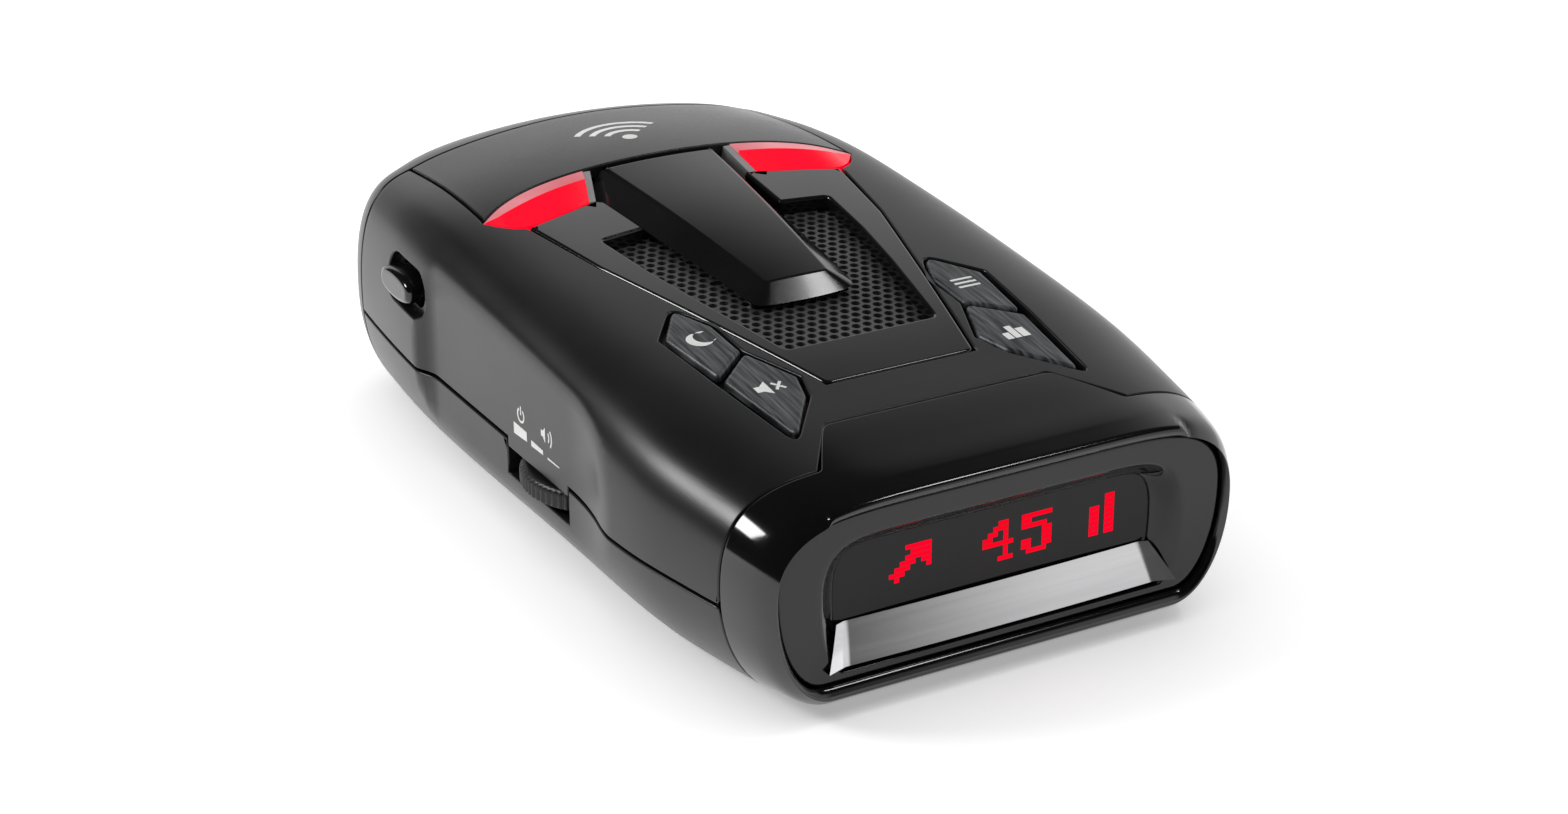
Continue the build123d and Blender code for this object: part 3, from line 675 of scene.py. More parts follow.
BUTTON_POCKET = [(17.3, -10.8, 1.2), (22.2, -17.4, 1.0), (21.15, -28.9, 1.5), (19.3, -44.2, 0.9),
                 (12.9, -35.9, 1.5), (11.6, -31.6, 1.0), (14.7, -23.7, 0), (14.6, -16.8, 1.0)]
BUTTON_FAR = [(17.3, -11.35, 0.9), (21.45, -17.6, 0.8), (20.25, -28.3, 0.7), (15.0, -23.75, 0.7),
              (15.05, -17.0, 0.8)]
BUTTON_NEAR = [(14.9, -24.3, 0.7), (20.1, -29.1, 0.7), (18.55, -43.1, 0.7), (13.25, -35.7, 1.2),
               (12.05, -31.6, 0.8)]
RELEASE_POCKET = box_corners(23.4, 20.1, 35.3, 26.0)


def on_side(side, loop):
    """Domain points on a side wall from (y, z) points."""
    return np.array([side_domain(side, y, z) for y, z in loop])


def side_loop(corners, radius, step=0.7):
    """Rounded outline on the -X wall from (y, z) corners."""
    return on_side(-1, rounded([(y, z, radius) for y, z in corners], step))


upper = Sheet()
pocket_outlines = (BUTTON_POCKET, mirrored(BUTTON_POCKET))
upper_holes = [on_top(rounded(outline)) for outline in pocket_outlines]
upper_holes.append(side_loop(RELEASE_POCKET, 3.4, 0.5))
plate(upper, flat_skin, upper_outline(), upper_holes, edge=0.25, depth=1.5)
pocket_floor = side_loop(box_corners(22.4, 19.7, 35.8, 26.4), 2.6)
button_hole = side_loop(box_corners(25.4, 20.8, 34.6, 25.2), 2.0)
plate(upper, flat_skin, pocket_floor, [button_hole], edge=0.1, depth=1.0, lift=-1.45)
for outline in pocket_outlines:
    grown = [(x * 1.01, y, r) for x, y, r in outline]
    plate(upper, flat_skin, on_top(rounded(grown)), edge=0.05, depth=0.3, lift=-1.55)
finished(upper, "upper_housing_skin", "case", housing_look, ["upper_housing"])


def lower_outline():
    """Outline of the lower housing, which wraps under the case from seam to seam."""
    seam = SEAM_Z - GAP
    ys = seam_ys(FRONT_SEAM + GAP, far_seam_y(seam), 0.0)
    right = seam_run(1, seam, ys)
    left = [(2 * A_END + a, y) for a, y in seam_run(-1, seam, ys, (SLOT_Z[0], 0.0))]
    far = rim_run(np.linspace(right[-1][0], left[-1][0], 120)[1:-1])
    return evened(right[:1] + left + far[::-1] + right[:0:-1], 1.2)



def under_domain(x, y):
    """Domain point on the flat underside, unwrapped past the bottom centre for the left side."""
    inner = float(half_at(y)) - float(corner_at(y))
    a = A_END - (A_END - A_CORNER) * abs(x) / inner
    return (a, y) if x > 0 else (2 * A_END - a, y)


def under_circle(x, y, r):
    return np.array([under_domain(px, py) for px, py in circle(x, y, r)])


CASE_SCREWS = [(-22.0, -41.0), (22.0, -41.0), (-20.5, 39.5), (20.5, 39.5)]
POWER_Y, POWER_Z = 14.0, 8.6
DATA_Y, DATA_Z = 2.0, 8.4
lower = Sheet()
lower_holes = [under_circle(x, y, 2.9) for x, y in CASE_SCREWS]
data_corners = box_corners(DATA_Y - 4.1, DATA_Z - 2.1, DATA_Y + 4.1, DATA_Z + 2.1, 0.5)
lower_holes += [on_side(1, circle(POWER_Y, POWER_Z, 4.2)), on_side(1, rounded(data_corners, 0.8))]
plate(lower, flat_skin, lower_outline(), lower_holes, step=1.3, edge=0.22, depth=1.7)
for x, y in CASE_SCREWS:
    plate(lower, flat_skin, under_circle(x, y, 3.4), edge=0.05, depth=0.6, lift=-4.95)
finished(lower, "lower_housing_skin", "case", housing_look, ["lower_housing"])


def collar(sheet, skin, start_y, end_y, rows, inward=1.5, edge=0.25, arcs=4):
    """Band of skin right round the case from a seam, with the seam's edge rolled in."""
    a = np.concatenate([np.linspace(-A_END, -A_TOP, 90)[:-1], np.linspace(-A_TOP, A_TOP, 111)[:-1],
                        np.linspace(A_TOP, A_END, 90)[:-1]])
    seam = start_y(a)
    toward = np.sign(end_y - seam)
    forward = toward[0] > 0
    y0 = seam + toward * edge
    up = normals_of(skin, np.stack([a, y0], -1))
    base = skin(a, y0)
    out = levelled(unit(xyz(0 * a, -toward, 0.0)), up)
    centre = base - up * edge
    rings = [(centre + out * edge - up * inward, out)]
    for k in range(arcs + 1):
        t = 0.5 * pi * k / arcs
        turn = unit(out * cos(t) + up * sin(t))
        rings.append((centre + turn * edge, turn))
    for k in range(1, rows + 1):
        share = k / rows
        share = 1 - (1 - share) ** 1.6 if forward else share
        y = y0 + (end_y - y0) * share
        rings.append((skin(a, y), normals_of(skin, np.stack([a, np.clip(y, -57.45, 57.45)], -1))))
    starts = [sheet.add(points) for points, _ in rings]
    for k in range(len(rings) - 1):
        i, j = (k + 1, k) if forward else (k, k + 1)
        sheet.strip(starts[i], starts[j], rings[i][1], rings[j][1])
    return a




# Front cover with the laser window and the bracket slot
def end_face(u, v):
    return xyz(-np.asarray(u), REAR_Y, v)


cover = Sheet()
cover_a = collar(cover, domed_skin, lambda a: rim_y(a) + GAP, REAR_Y, 26)
end_loop = domed_skin(cover_a, np.full(len(cover_a), REAR_Y))
laser_low, laser_high = (np.array(v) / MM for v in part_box("laser_lens"))
LASER_X, _, LASER_Z = (laser_low + laser_high) / 2
face_loop = turned_ccw(np.stack([-end_loop[:, 0], end_loop[:, 2]], -1))
bracket_mouth = rounded(box_corners(-9.0, 18.4, 9.0, 23.2, 0.5))
plate(cover, end_face, face_loop, [bracket_mouth, circle(-LASER_X, LASER_Z, 4.6, 40)], step=1.5,
      edge=0.12, depth=1.8)
finished(cover, "front_cover_skin", "case", housing_look, ["front_cover"])


def optic_skin(u, v):
    """Slightly domed laser window."""
    bulge = 0.9 * (1 - ((u + LASER_X) ** 2 + (v - LASER_Z) ** 2) / 4.4**2)
    return xyz(-u, REAR_Y - 1.6 + bulge, v)


plated_piece("laser_window", "lens_clear", optic_look, "laser_lens", optic_skin,
             circle(-LASER_X, LASER_Z, 4.42, 40), step=0.8, edge=0.15, depth=1.6)

# Front top panel
edge_xs = np.linspace(-panel_half(21.5) + GAP, panel_half(21.5) - GAP, 61)
edge_run = [(x, float(panel_edge(x)) + GAP) for x in edge_xs]
rim_reach = panel_half(47.2) - GAP
side_run = [(panel_half(y) - GAP, y) for y in np.linspace(23.0, 46.0, 24)]
rim_edge = [(x, float(rim_curve(x)) - GAP) for x in np.linspace(rim_reach, -rim_reach, 51)]
panel_outline = edge_run + side_run + rim_edge + mirrored(side_run)
plated_piece("front_top_panel_skin", "panel_grey", panel_look, "front_top_panel", domed_skin,
             evened(on_top(panel_outline), 1.0), edge=0.22, depth=1.6)

# Trim round the speaker grille
trim_right = [(10.3, 20.9, 0.2), (12.2, 20.45, 0.2), (16.5, 18.8, 0), (20.6, 17.3, 0.3),
              (22.1, 16.8, 0.3)]
trim_outer = [(9.8, -34.2, 1.2), (15.2, -14.3, 0), (19.7, 2.5, 0)]
band_out = [(9.6, 10.6, 0.4), (15.9, 9.5, 0.9), (14.7, -1.0, 0), (13.0, -10.8, 0), (10.0, -25.4, 0.9)]
trim_path = trim_outer + trim_right[::-1] + band_out
trim_loop = trim_path + [(-x, y, r) for x, y, r in reversed(trim_path)]
plated_piece("grille_trim_skin", "trim_black", trim_look, "grille_trim", flat_skin,
             on_top(rounded(trim_loop)), edge=0.42, depth=1.9, lift=0.05, arcs=5)


# Centre spine: a rounded top that falls on slanted sides to a wider foot
def spine_skin(x, y):
    return xyz(x, y, spine_top_at(y) - 0.004 * np.square(x))


spine_top = [(-4.9, -11.2, 1.3), (4.9, -11.2, 1.3), (8.3, 25.5, 0.3), (-8.3, 25.5, 0.3)]
spine_foot = [(-7.0, -12.7, 2.2), (7.0, -12.7, 2.2), (10.1, 25.5, 0.3), (-10.1, 25.5, 0.3)]


def matched(corners, counts):
    """Rounded outline with a set number of points on each run, so that two outlines pair up."""
    rough = rounded(corners, 1e6)
    per_corner = len(rough) // len(corners)
    out = []
    for i in range(len(corners)):
        arc = rough[i * per_corner : (i + 1) * per_corner]
        nxt = rough[((i + 1) * per_corner) % len(rough)]
        out += list(arc)
        out += [arc[-1] + (nxt - arc[-1]) * k / counts[i] for k in range(1, counts[i])]
    return np.array(out)


spine_counts = (10, 36, 16, 36)
foot_plan = matched(spine_foot, spine_counts)
foot_plan[:, 1] -= 0.5 * np.clip(1 - (foot_plan[:, 0] / 6.5) ** 2, 0, 1) * (foot_plan[:, 1] < -10)
foot_z = top_at(foot_plan[:, 1]) - 0.85 - 0.3 * np.clip((-8.0 - foot_plan[:, 1]) / 4, 0, 1)
spine_feet = np.column_stack([foot_plan, foot_z])
spine = Sheet()
plate(spine, spine_skin, matched(spine_top, spine_counts), edge=0.95, arcs=9, feet=spine_feet)
ledge = [(-6.6, -12.2, 2.0), (6.6, -12.2, 2.0), (9.4, 24.5, 0.4), (-9.4, 24.5, 0.4)]
plate(spine, flat_skin, on_top(rounded(ledge)), edge=0.2, depth=1.0, lift=-0.95)
finished(spine, "centre_spine_skin", "case", trim_look, ["centre_spine"])


# Speaker grille: a staggered sheet of round holes
def grille_sheet(pitch=1.5, hole=0.56):
    sheet = Sheet()
    rows = int(39 / (pitch * 0.866))
    for row in range(rows):
        y = -27.0 + row * pitch * 0.866
        limit = 11.2 + 0.17 * (y + 27.0)
        count = int(limit / pitch)
        for column in range(-count, count + 1):
            x = pitch * (column + 0.5 * (row % 2))
            spine_half = 4.6 + 0.08 * (y + 12.3)
            if y > -11.5 and abs(x) < spine_half:
                continue
            cell(sheet, x, y, pitch, hole)
    return sheet


def cell(sheet, x, y, pitch, hole):
    """One hexagon of the sheet with its round hole and the hole's wall."""
    per_side = 3
    outer, inner = [], []
    for k in range(6):
        a0, a1 = pi / 6 + k * pi / 3, pi / 6 + (k + 1) * pi / 3
        p0, p1 = (np.array((cos(a), sin(a))) * (pitch / np.sqrt(3) * 1.002) for a in (a0, a1))
        for j in range(per_side):
            outer.append(p0 + (p1 - p0) * j / per_side)
            t = a0 + (a1 - a0) * j / per_side
            inner.append(np.array((cos(t), sin(t))) * hole)
    n = len(outer)
    plan = np.array(outer + inner) + (x, y)
    top = np.column_stack([plan, top_at(plan[:, 1]) - 1.9])
    first = sheet.add(top)
    low = sheet.add(top[n:] - (0, 0, 0.7))
    up = unit(np.tile((0.0, -0.09, 1.0), (n, 1)))
    out = unit(np.column_stack([-np.array(inner), np.zeros(n)]))
    sheet.strip(first + n, first, up, up)
    sheet.strip(low, first + n, out, out)


finished(grille_sheet(), "speaker_grille_sheet", "case", grille_look, ["speaker_grille"])


# ---- lenses and keys ----

LENS_DROP = (0, 0, 1.2)
lens_low = natural_spline([(10.9, 21.15), (12.2, 20.65), (16.5, 19.0), (20.6, 17.6), (22.2, 17.45),
                           (23.6, 17.95), (25.1, 19.5), (26.3, 21.5)])


def lens_profile(share):
    """Cross-section of a lens at a share of its length, from inner end to tip: top, bevel, foot."""
    x_top = 10.6 + (26.3 - 10.6) * share
    x_low = 12.0 + (26.25 - 12.0) * share
    y_top = float(panel_edge(x_top)) - 0.1
    y_low = float(lens_low(x_low))
    z_top = float(domed_skin(top_domain(x_top, y_top)[0], y_top)[2]) - 0.1
    z_low = float(flat_skin(top_domain(x_low, y_low)[0], y_low)[2]) - 0.1
    top = np.array((x_top, y_top, z_top))
    low_point = np.array((x_low, y_low, z_low))
    bevel = top + (low_point - top) * 0.3
    bevel = bevel + np.array((0, -0.3, 0.4)) * sin(pi * min(share + 0.15, 1.0)) ** 0.5
    return top, bevel, low_point


def lens(side):
    """Leaf-shaped lens with a bevelled upper facet, and its facet as a second piece."""
    face, facet = Sheet(), Sheet()
    rows = [lens_profile(s) for s in np.linspace(0, 1, 41)]
    for sheet, i in ((facet, 0), (face, 1)):
        upper_row, lower_row = (np.array([r[k] for r in rows]) * (side, 1, 1) for k in (i, i + 1))
        starts = [sheet.add(r) for r in (upper_row, lower_row, lower_row - LENS_DROP, upper_row - LENS_DROP)]
        run = unit(np.gradient(upper_row + lower_row, axis=0))
        n = unit(np.cross(lower_row - upper_row + (0, -1e-6, 0), run)) * side
        n = np.where(n[:, 2:3] < 0, -n, n)
        back = np.tile((0.0, 1.0, 0.0), (len(rows), 1))
        down = np.tile((0.0, 0.0, -1.0), (len(rows), 1))
        for corner, around in enumerate((n, -back, down, back)):
            f, s = starts[corner], starts[(corner + 1) % 4]
            for k in range(len(rows) - 1):
                corners = (f + k, s + k, s + k + 1, f + k + 1)
                normals = (around[k], around[k], around[k + 1], around[k + 1])
                sheet.face(corners[::side], normals[::side])
        for k, x_dir in ((0, -side), (len(rows) - 1, side)):
            corners = [start + k for start in starts]
            sheet.face(corners[::x_dir], [(x_dir, 0, 0)] * 4)
    return face, facet


SIDES = (("right", 1), ("left", -1))
for word, side in SIDES:
    face, facet = lens(side)
    finished(face, f"alert_lens_{word}_face", "case", lens_look, [f"alert_lens_{word}"])
    # The facet carries the painted sheen, a lighter pink than the lens face.
    finished(facet, f"alert_lens_{word}_facet", "case", lens_facet_sheen_look)




def softened(made, width, segments=3):
    """Consistent outward faces, bevelled edges and smooth shading."""
    bm = bmesh.new()
    bm.from_mesh(made.data)
    bmesh.ops.recalc_face_normals(bm, faces=bm.faces)
    bm.to_mesh(made.data)
    bm.free()
    made.data.polygons.foreach_set("use_smooth", [True] * len(made.data.polygons))
    cut = made.modifiers.new("edges", "BEVEL")
    cut.width = width * MM
    cut.segments = segments
    cut.limit_method = "ANGLE"
    cut.angle_limit = radians(25)
    cut.harden_normals = True
    return made


# Cheeks: four-sided strips, pushed down and away from the lens
CHEEK_DEPTH = np.array((0, 0.6, -2.0))
cheek_faces = [(0, 1, 2, 3), (7, 6, 5, 4)] + [(i, i + 4, (i + 1) % 4 + 4, (i + 1) % 4) for i in range(4)]
cheek_top = float(domed_skin(top_domain(10.2, 25.3)[0], 25.3)[2]) - 0.2
cheek_low = float(top_at(20.8)) - 0.15
for word, side in SIDES:
    corners = [(side * 9.55, 25.35, cheek_top), (side * 10.6, 25.35, cheek_top),
               (side * 12.0, 20.75, cheek_low), (side * 10.95, 20.95, cheek_low)]
    name = f"lens_cheek_{word}_strip"
    mesh = bpy.data.meshes.new(name)
    points = np.concatenate([corners, corners + CHEEK_DEPTH])
    mesh.from_pydata((points * MM).tolist(), [], cheek_faces)
    strip = softened(linked(name, mesh), 0.1)
    piece(strip, "case", cheek_look, [f"lens_cheek_{word}"])



# Keys: outline, the node that each stands for, and the body that it rides on
KEYS = [
    ("button_menu", "menu_key", BUTTON_FAR, 1),
    ("button_city", "city_key", BUTTON_NEAR, 1),
    ("button_dim", "dim_key", BUTTON_FAR, -1),
    ("button_mute", "mute_key", BUTTON_NEAR, -1),
]
for node, body, outline, side in KEYS:
    corners = outline if side > 0 else mirrored(outline)
    plated_piece(f"{node}_cap", "button_grey", key_look, node, flat_skin, on_top(rounded(corners, 0.7)),
                 body=body, step=0.7, edge=0.5, depth=0.95, lift=0.12, arcs=5)



# ---- marks ----


def decal(sheet, skin, outline, lift=0.03, step=0.5):
    plate(sheet, skin, outline, step=step, edge=0.015, depth=0.06, lift=lift, arcs=1)


def band(points, width):
    """Closed outline of a stroke of even width along an open path."""
    points = np.array(points, float)
    run = unit(np.gradient(points, axis=0))
    side = np.stack([-run[:, 1], run[:, 0]], -1) * width / 2
    return np.concatenate([points - side, (points + side)[::-1]])


def arc_points(x, y, r, a0, a1, count=14):
    turns = [radians(a0 + (a1 - a0) * k / count) for k in range(count + 1)]
    return [(x + r * cos(t), y + r * sin(t)) for t in turns]


def crescent(r):
    outer = arc_points(0, 0, r, 60, 330, 24)
    inner = arc_points(r * 0.52, r * 0.22, r * 0.86, 322, 66, 20)
    return [np.array(outer + inner)]


def speaker_off(s):
    body = np.array([(-1.0, -0.35), (-0.55, -0.35), (0.0, -0.85), (0.0, 0.85), (-0.55, 0.35), (-1.0, 0.35)])
    strokes = [[(0.35 * s, -0.45 * s), (0.7 * s, 0.0), (1.05 * s, 0.45 * s)],
               [(0.35 * s, 0.45 * s), (0.62 * s, 0.1 * s)], [(0.78 * s, -0.1 * s), (1.05 * s, -0.45 * s)]]
    return [body * s] + [band(stroke, 0.22 * s) for stroke in strokes]


def three_bars(s):
    return [rounded(box_corners(-s, y - 0.14 * s, s, y + 0.14 * s, 0.1), 1.0)
            for y in (-0.65 * s, 0.0, 0.65 * s)]


def skyline(s):
    towers = ((-1.0, -0.45, 0.1), (-0.35, 0.2, 0.95), (0.3, 0.95, 0.45))
    return [np.array(box_corners(x0, -0.85, x1, h)) * s for x0, x1, h in towers]


ICONS = {"button_dim": (crescent(1.6), (-18.0, -19.5)), "button_mute": (speaker_off(1.7), (-16.3, -32.6)),
         "button_menu": (three_bars(1.5), (18.0, -19.5)), "button_city": (skyline(1.6), (16.3, -32.6))}
for node, body, _, _ in KEYS:
    shapes, centre = ICONS[node]
    sheet = Sheet()
    for loop in shapes:
        decal(sheet, flat_skin, on_top(evened(loop + centre, 0.5)), lift=0.15)
    finished(sheet, f"{node}_legend", body, paint_look)

# Generic signal mark on the front top panel: a source dot with three wave fronts
mark = Sheet()
MARK_X, MARK_Y = 0.0, 33.0
decal(mark, domed_skin, on_top(circle(MARK_X, MARK_Y, 1.0, 20)))
for r in (3.0, 5.0, 7.0):
    wave = band(arc_points(MARK_X, MARK_Y, r, 38, 142, 20), 0.85)
    decal(mark, domed_skin, on_top(evened(wave, 0.6)))
finished(mark, "panel_mark", "case", paint_look)

# Power and volume legend above the thumbwheel, from (y, z) points on the -X wall
WEDGES = [[(-1.1, 14.55), (-4.7, 14.75), (-4.7, 16.0), (-1.1, 16.05)],
          [(-5.9, 14.7), (-9.1, 14.8), (-9.1, 15.4), (-5.9, 15.5)],
          [(-10.3, 14.75), (-13.4, 14.8), (-13.4, 15.0), (-10.3, 15.05)]]
SPEAKER = [(-8.7, 17.2), (-9.2, 17.2), (-9.8, 16.6), (-9.8, 18.6), (-9.2, 18.0), (-8.7, 18.0)]
LEGEND_Z = 17.6
power_ring = band(arc_points(-3.2, LEGEND_Z, 0.85, 125, 415, 22), 0.3)
legend_shapes = [(corners, 0.6) for corners in WEDGES]
legend_shapes += [(power_ring, 0.5), (box_corners(-3.35, LEGEND_Z, -3.05, 18.75), 0.5), (SPEAKER, 0.5)]
legend_shapes += [(band(arc_points(-9.9, LEGEND_Z, r, 140, 220, 10), 0.28), 0.5) for r in (0.9, 1.6)]
legend = Sheet()
for shape, step in legend_shapes:
    decal(legend, flat_skin, on_side(-1, evened(shape, step)))
finished(legend, "thumbwheel_legend", "case", paint_look)


# ---- display end ----

INSERT = dict(half=28.9, top=24.2, belt=16.0, belly=4.1, power=7.0, corner=5.6)
RECESS_RIM = dict(half=23.7, top=21.4, belt=13.5, belly=5.2, power=9.0, corner=3.0)
RECESS_FLOOR = dict(half=20.7, top=19.1, belt=13.5, belly=5.7, power=16.0, corner=1.5)
CREST_Y = -57.5
INSERT_Y = -56.5
WINDOW_Y = -54.2


def front_loop(a, shape, y, shrink=0.0):
    """Loop of points in a plane at y over one of the display end's outlines."""
    x, z = run_xz(a, shape["half"] - shrink, shape["top"] - shrink, shape["belt"],
                  shape["belly"] + shrink, shape["power"], shape["corner"])
    return xyz(x, y, z)


def loft_rows(sheet, rows, flip=False):
    """Skin through rows of matched loops, with normals from the neighbours of each point."""
    rows = np.array(rows)
    around = np.roll(rows, -1, 1) - np.roll(rows, 1, 1)
    n = unit(np.cross(around, np.gradient(rows, axis=0))) * (-1 if flip else 1)
    starts = [sheet.add(r) for r in rows]
    for k in range(len(rows) - 1):
        i, j = (k, k + 1) if flip else (k + 1, k)
        sheet.strip(starts[i], starts[j], n[i], n[j])
    return starts



def visor_seam(a):
    """The bezel's seam: straight round the case, with the visor's tongue on top."""
    x = np.abs(a) * FLAT_SHARE * 32.6 / A_TOP
    slope = (VISOR_FAR[1] - VISOR_NEAR[1]) / (VISOR_NEAR[0] - VISOR_FAR[0])
    tongue = VISOR_NEAR[1] + (VISOR_NEAR[0] - x) * slope
    tongue = smooth_min(tongue, VISOR_FAR[1] + 0 * tongue, 1.2)
    return -smooth_min(-tongue, -FRONT_SEAM + 0 * tongue, 0.5)


FACE_Y = -54.0
LIP_X = 23.3
bezel = Sheet()
bezel_a = collar(bezel, flat_skin, visor_seam, FACE_Y, 12)
outer_loop = flat_skin(bezel_a, np.full(len(bezel_a), FACE_Y))
insert_loop = front_loop(bezel_a, INSERT, INSERT_Y)


def lipped(row, y):
    """Raises the rim's top run to the visor's level, as far as a step near each corner."""
    on = np.clip((LIP_X - np.abs(row[:, 0])) / 0.7, 0, 1)
    on = on * on * (3 - 2 * on) * (row[:, 2] > 20)
    fall = np.clip((FACE_Y - y - 2.9) / 0.6, 0, 1)
    z = outer_loop[:, 2] - 0.15 * (FACE_Y - y) - 0.5 * (1 - np.sqrt(1 - fall**2))
    row[:, 2] += on * np.maximum(z - row[:, 2], 0)
    return row


ring_rows = [lipped(flat_skin(bezel_a, np.full(len(bezel_a), min(y, FACE_Y))), y)
             for y in CREST_Y + 3.5 * (1 - np.sin(np.linspace(0, pi / 2, 18)))]
outer_crest = ring_rows[-1].copy()
for k in range(1, 11):
    t = 0.5 * pi * k / 10
    row = outer_crest + (insert_loop - outer_crest) * sin(t)
    row[:, 1] = CREST_Y + (INSERT_Y - CREST_Y) * (1 - cos(t))
    ring_rows.append(row)
loft_rows(bezel, ring_rows)
wall_top, wall_low = bezel.add(ring_rows[-1]), bezel.add(front_loop(bezel_a, INSERT, -53.5))
inward = unit(xyz(-insert_loop[:, 0], 0.0, 14.0 - insert_loop[:, 2]))
bezel.strip(wall_top, wall_low, inward, inward)
finished(bezel, "rear_bezel_skin", "case", gloss_look, ["rear_bezel"])

# Insert: a rolled edge, a flat rim, a sloping recess down to the window and a short wall behind it
INSERT_GAP = 0.16
INSERT_ROLL = 0.35
insert = Sheet()
insert_rows = [front_loop(bezel_a, INSERT, -54.5, INSERT_GAP)]
insert_rows += [front_loop(bezel_a, INSERT, INSERT_Y + INSERT_ROLL * (1 - sin(t)),
                           INSERT_GAP + INSERT_ROLL * (1 - cos(t))) for t in np.linspace(0, pi / 2, 5)]
outer_edge = front_loop(bezel_a, INSERT, INSERT_Y, INSERT_GAP + INSERT_ROLL)
rim_edge = front_loop(bezel_a, RECESS_RIM, INSERT_Y + 0.05)
floor_edge = front_loop(bezel_a, RECESS_FLOOR, WINDOW_Y)
insert_rows += [outer_edge + (rim_edge - outer_edge) * s for s in (0.2, 0.45, 0.7, 0.88)]
for s in np.linspace(0, 1, 13):
    ease = s * s * (3 - 2 * s)
    row = rim_edge + (floor_edge - rim_edge) * s
    row[:, 1] = rim_edge[:, 1] + (floor_edge[:, 1] - rim_edge[:, 1]) * (0.35 * s + 0.65 * ease)
    insert_rows.append(row)
insert_rows.append(front_loop(bezel_a, RECESS_FLOOR, WINDOW_Y + 0.8))
loft_rows(insert, insert_rows, flip=True)
finished(insert, "display_insert_skin", "case", insert_look, ["display_insert"])



def window_skin(x, z):
    return xyz(x, WINDOW_Y + 0.12, z)


WINDOW_HALF, WINDOW_LOW, WINDOW_HIGH = 20.9, 9.9, 19.3
window_loop = rounded([(-WINDOW_HALF, WINDOW_LOW, 0.4), (WINDOW_HALF, WINDOW_LOW, 0.4),
                       (WINDOW_HALF, WINDOW_HIGH, 1.2), (-WINDOW_HALF, WINDOW_HIGH, 1.2)])
plated_piece("display_window_pane", "window_smoke", window_look, "display_window", window_skin,
             window_loop, step=2.0, edge=0.1, depth=1.0)


# Readout: a heading arrow, a two-figure number and a level bar, as dots of a matrix display
READOUT = {
    "arrow": (-13.6, ["00011111", "00001111", "00011111", "00111011", "01110001", "11100000", "01000000",
                      "00000000"]),
    "four": (-1.6, ["000110", "001110", "011010", "110010", "111111", "000010", "000010", "000111"]),
    "five": (3.5, ["111111", "110000", "111110", "000011", "000011", "110011", "110011", "011110"]),
    "bars": (11.9, ["000011", "000011", "011011", "011011", "011011", "011011", "011011", "011011"]),
}
DOT_W, DOT_H = 0.68, 0.62
DOT_GAP = 0.05
READOUT_TOP = 17.2
readout = Sheet()
for left_x, rows in READOUT.values():
    for r, row in enumerate(rows):
        for lit in re.finditer("1+", row):
            x0, x1 = left_x + lit.start() * DOT_W, left_x + lit.end() * DOT_W - DOT_GAP
            z1 = READOUT_TOP - r * DOT_H
            z0 = z1 - DOT_H + DOT_GAP
            decal(readout, window_skin, evened(box_corners(x0, z0, x1, z1), 3.0), lift=0.02, step=3.0)
finished(readout, "display_readout", "case", readout_look)


# Sill: a plated slope under the window, slightly rounded, with a small facet at each end
def sill_sheet():
    sheet = Sheet()
    rows = []
    for share in np.linspace(0, 1, 15):
        bow = 0.07 * sin(pi * share)
        y = WINDOW_Y - 0.1 - 2.05 * share - bow
        z = 10.15 - 4.35 * share + bow * 0.4
        inner, outer = 19.4 + 0.9 * share, 20.5 + 2.3 * share
        row = [(x, y - 0.25 * (1 - (x / inner) ** 2), z) for x in np.linspace(-inner, inner, 61)]
        step = (outer - inner) / 5
        right = [(inner + k * step, y - 0.35 * k * step, z) for k in range(1, 6)]
        left = [(-x, yy, zz) for x, yy, zz in reversed(right)]
        rows.append(np.array(left + row + right))
    starts = [sheet.add(r) for r in rows]
    grid = np.array(rows)
    n = unit(np.cross(np.gradient(grid, axis=1), np.gradient(grid, axis=0)))
    n = np.where(n[..., 1:2] > 0, -n, n)
    width = len(rows[0])
    bottom = sheet.add(rows[-1] + (0, 1.4, 0))
    for k in range(len(rows) - 1):
        for i in range(width - 1):
            sheet.face((starts[k] + i, starts[k + 1] + i, starts[k + 1] + i + 1, starts[k] + i + 1),
                       (n[k, i], n[k + 1, i], n[k + 1, i + 1], n[k, i + 1]))
    for i in range(width - 1):
        sheet.face((starts[-1] + i, bottom + i, bottom + i + 1, starts[-1] + i + 1), [(0, 0, -1)] * 4)
    return sheet


finished(sill_sheet(), "sill_bar", "case", sill_look, ["sill_trim"])

# ---- thumbwheel and release button ----

wheel_low, wheel_high = (np.array(v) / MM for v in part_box("thumbwheel"))
WHEEL_X, WHEEL_Y, _ = (wheel_low + wheel_high) / 2
WHEEL_R = 10.5
RIBS = 72
RIB_DEPTH = 0.32


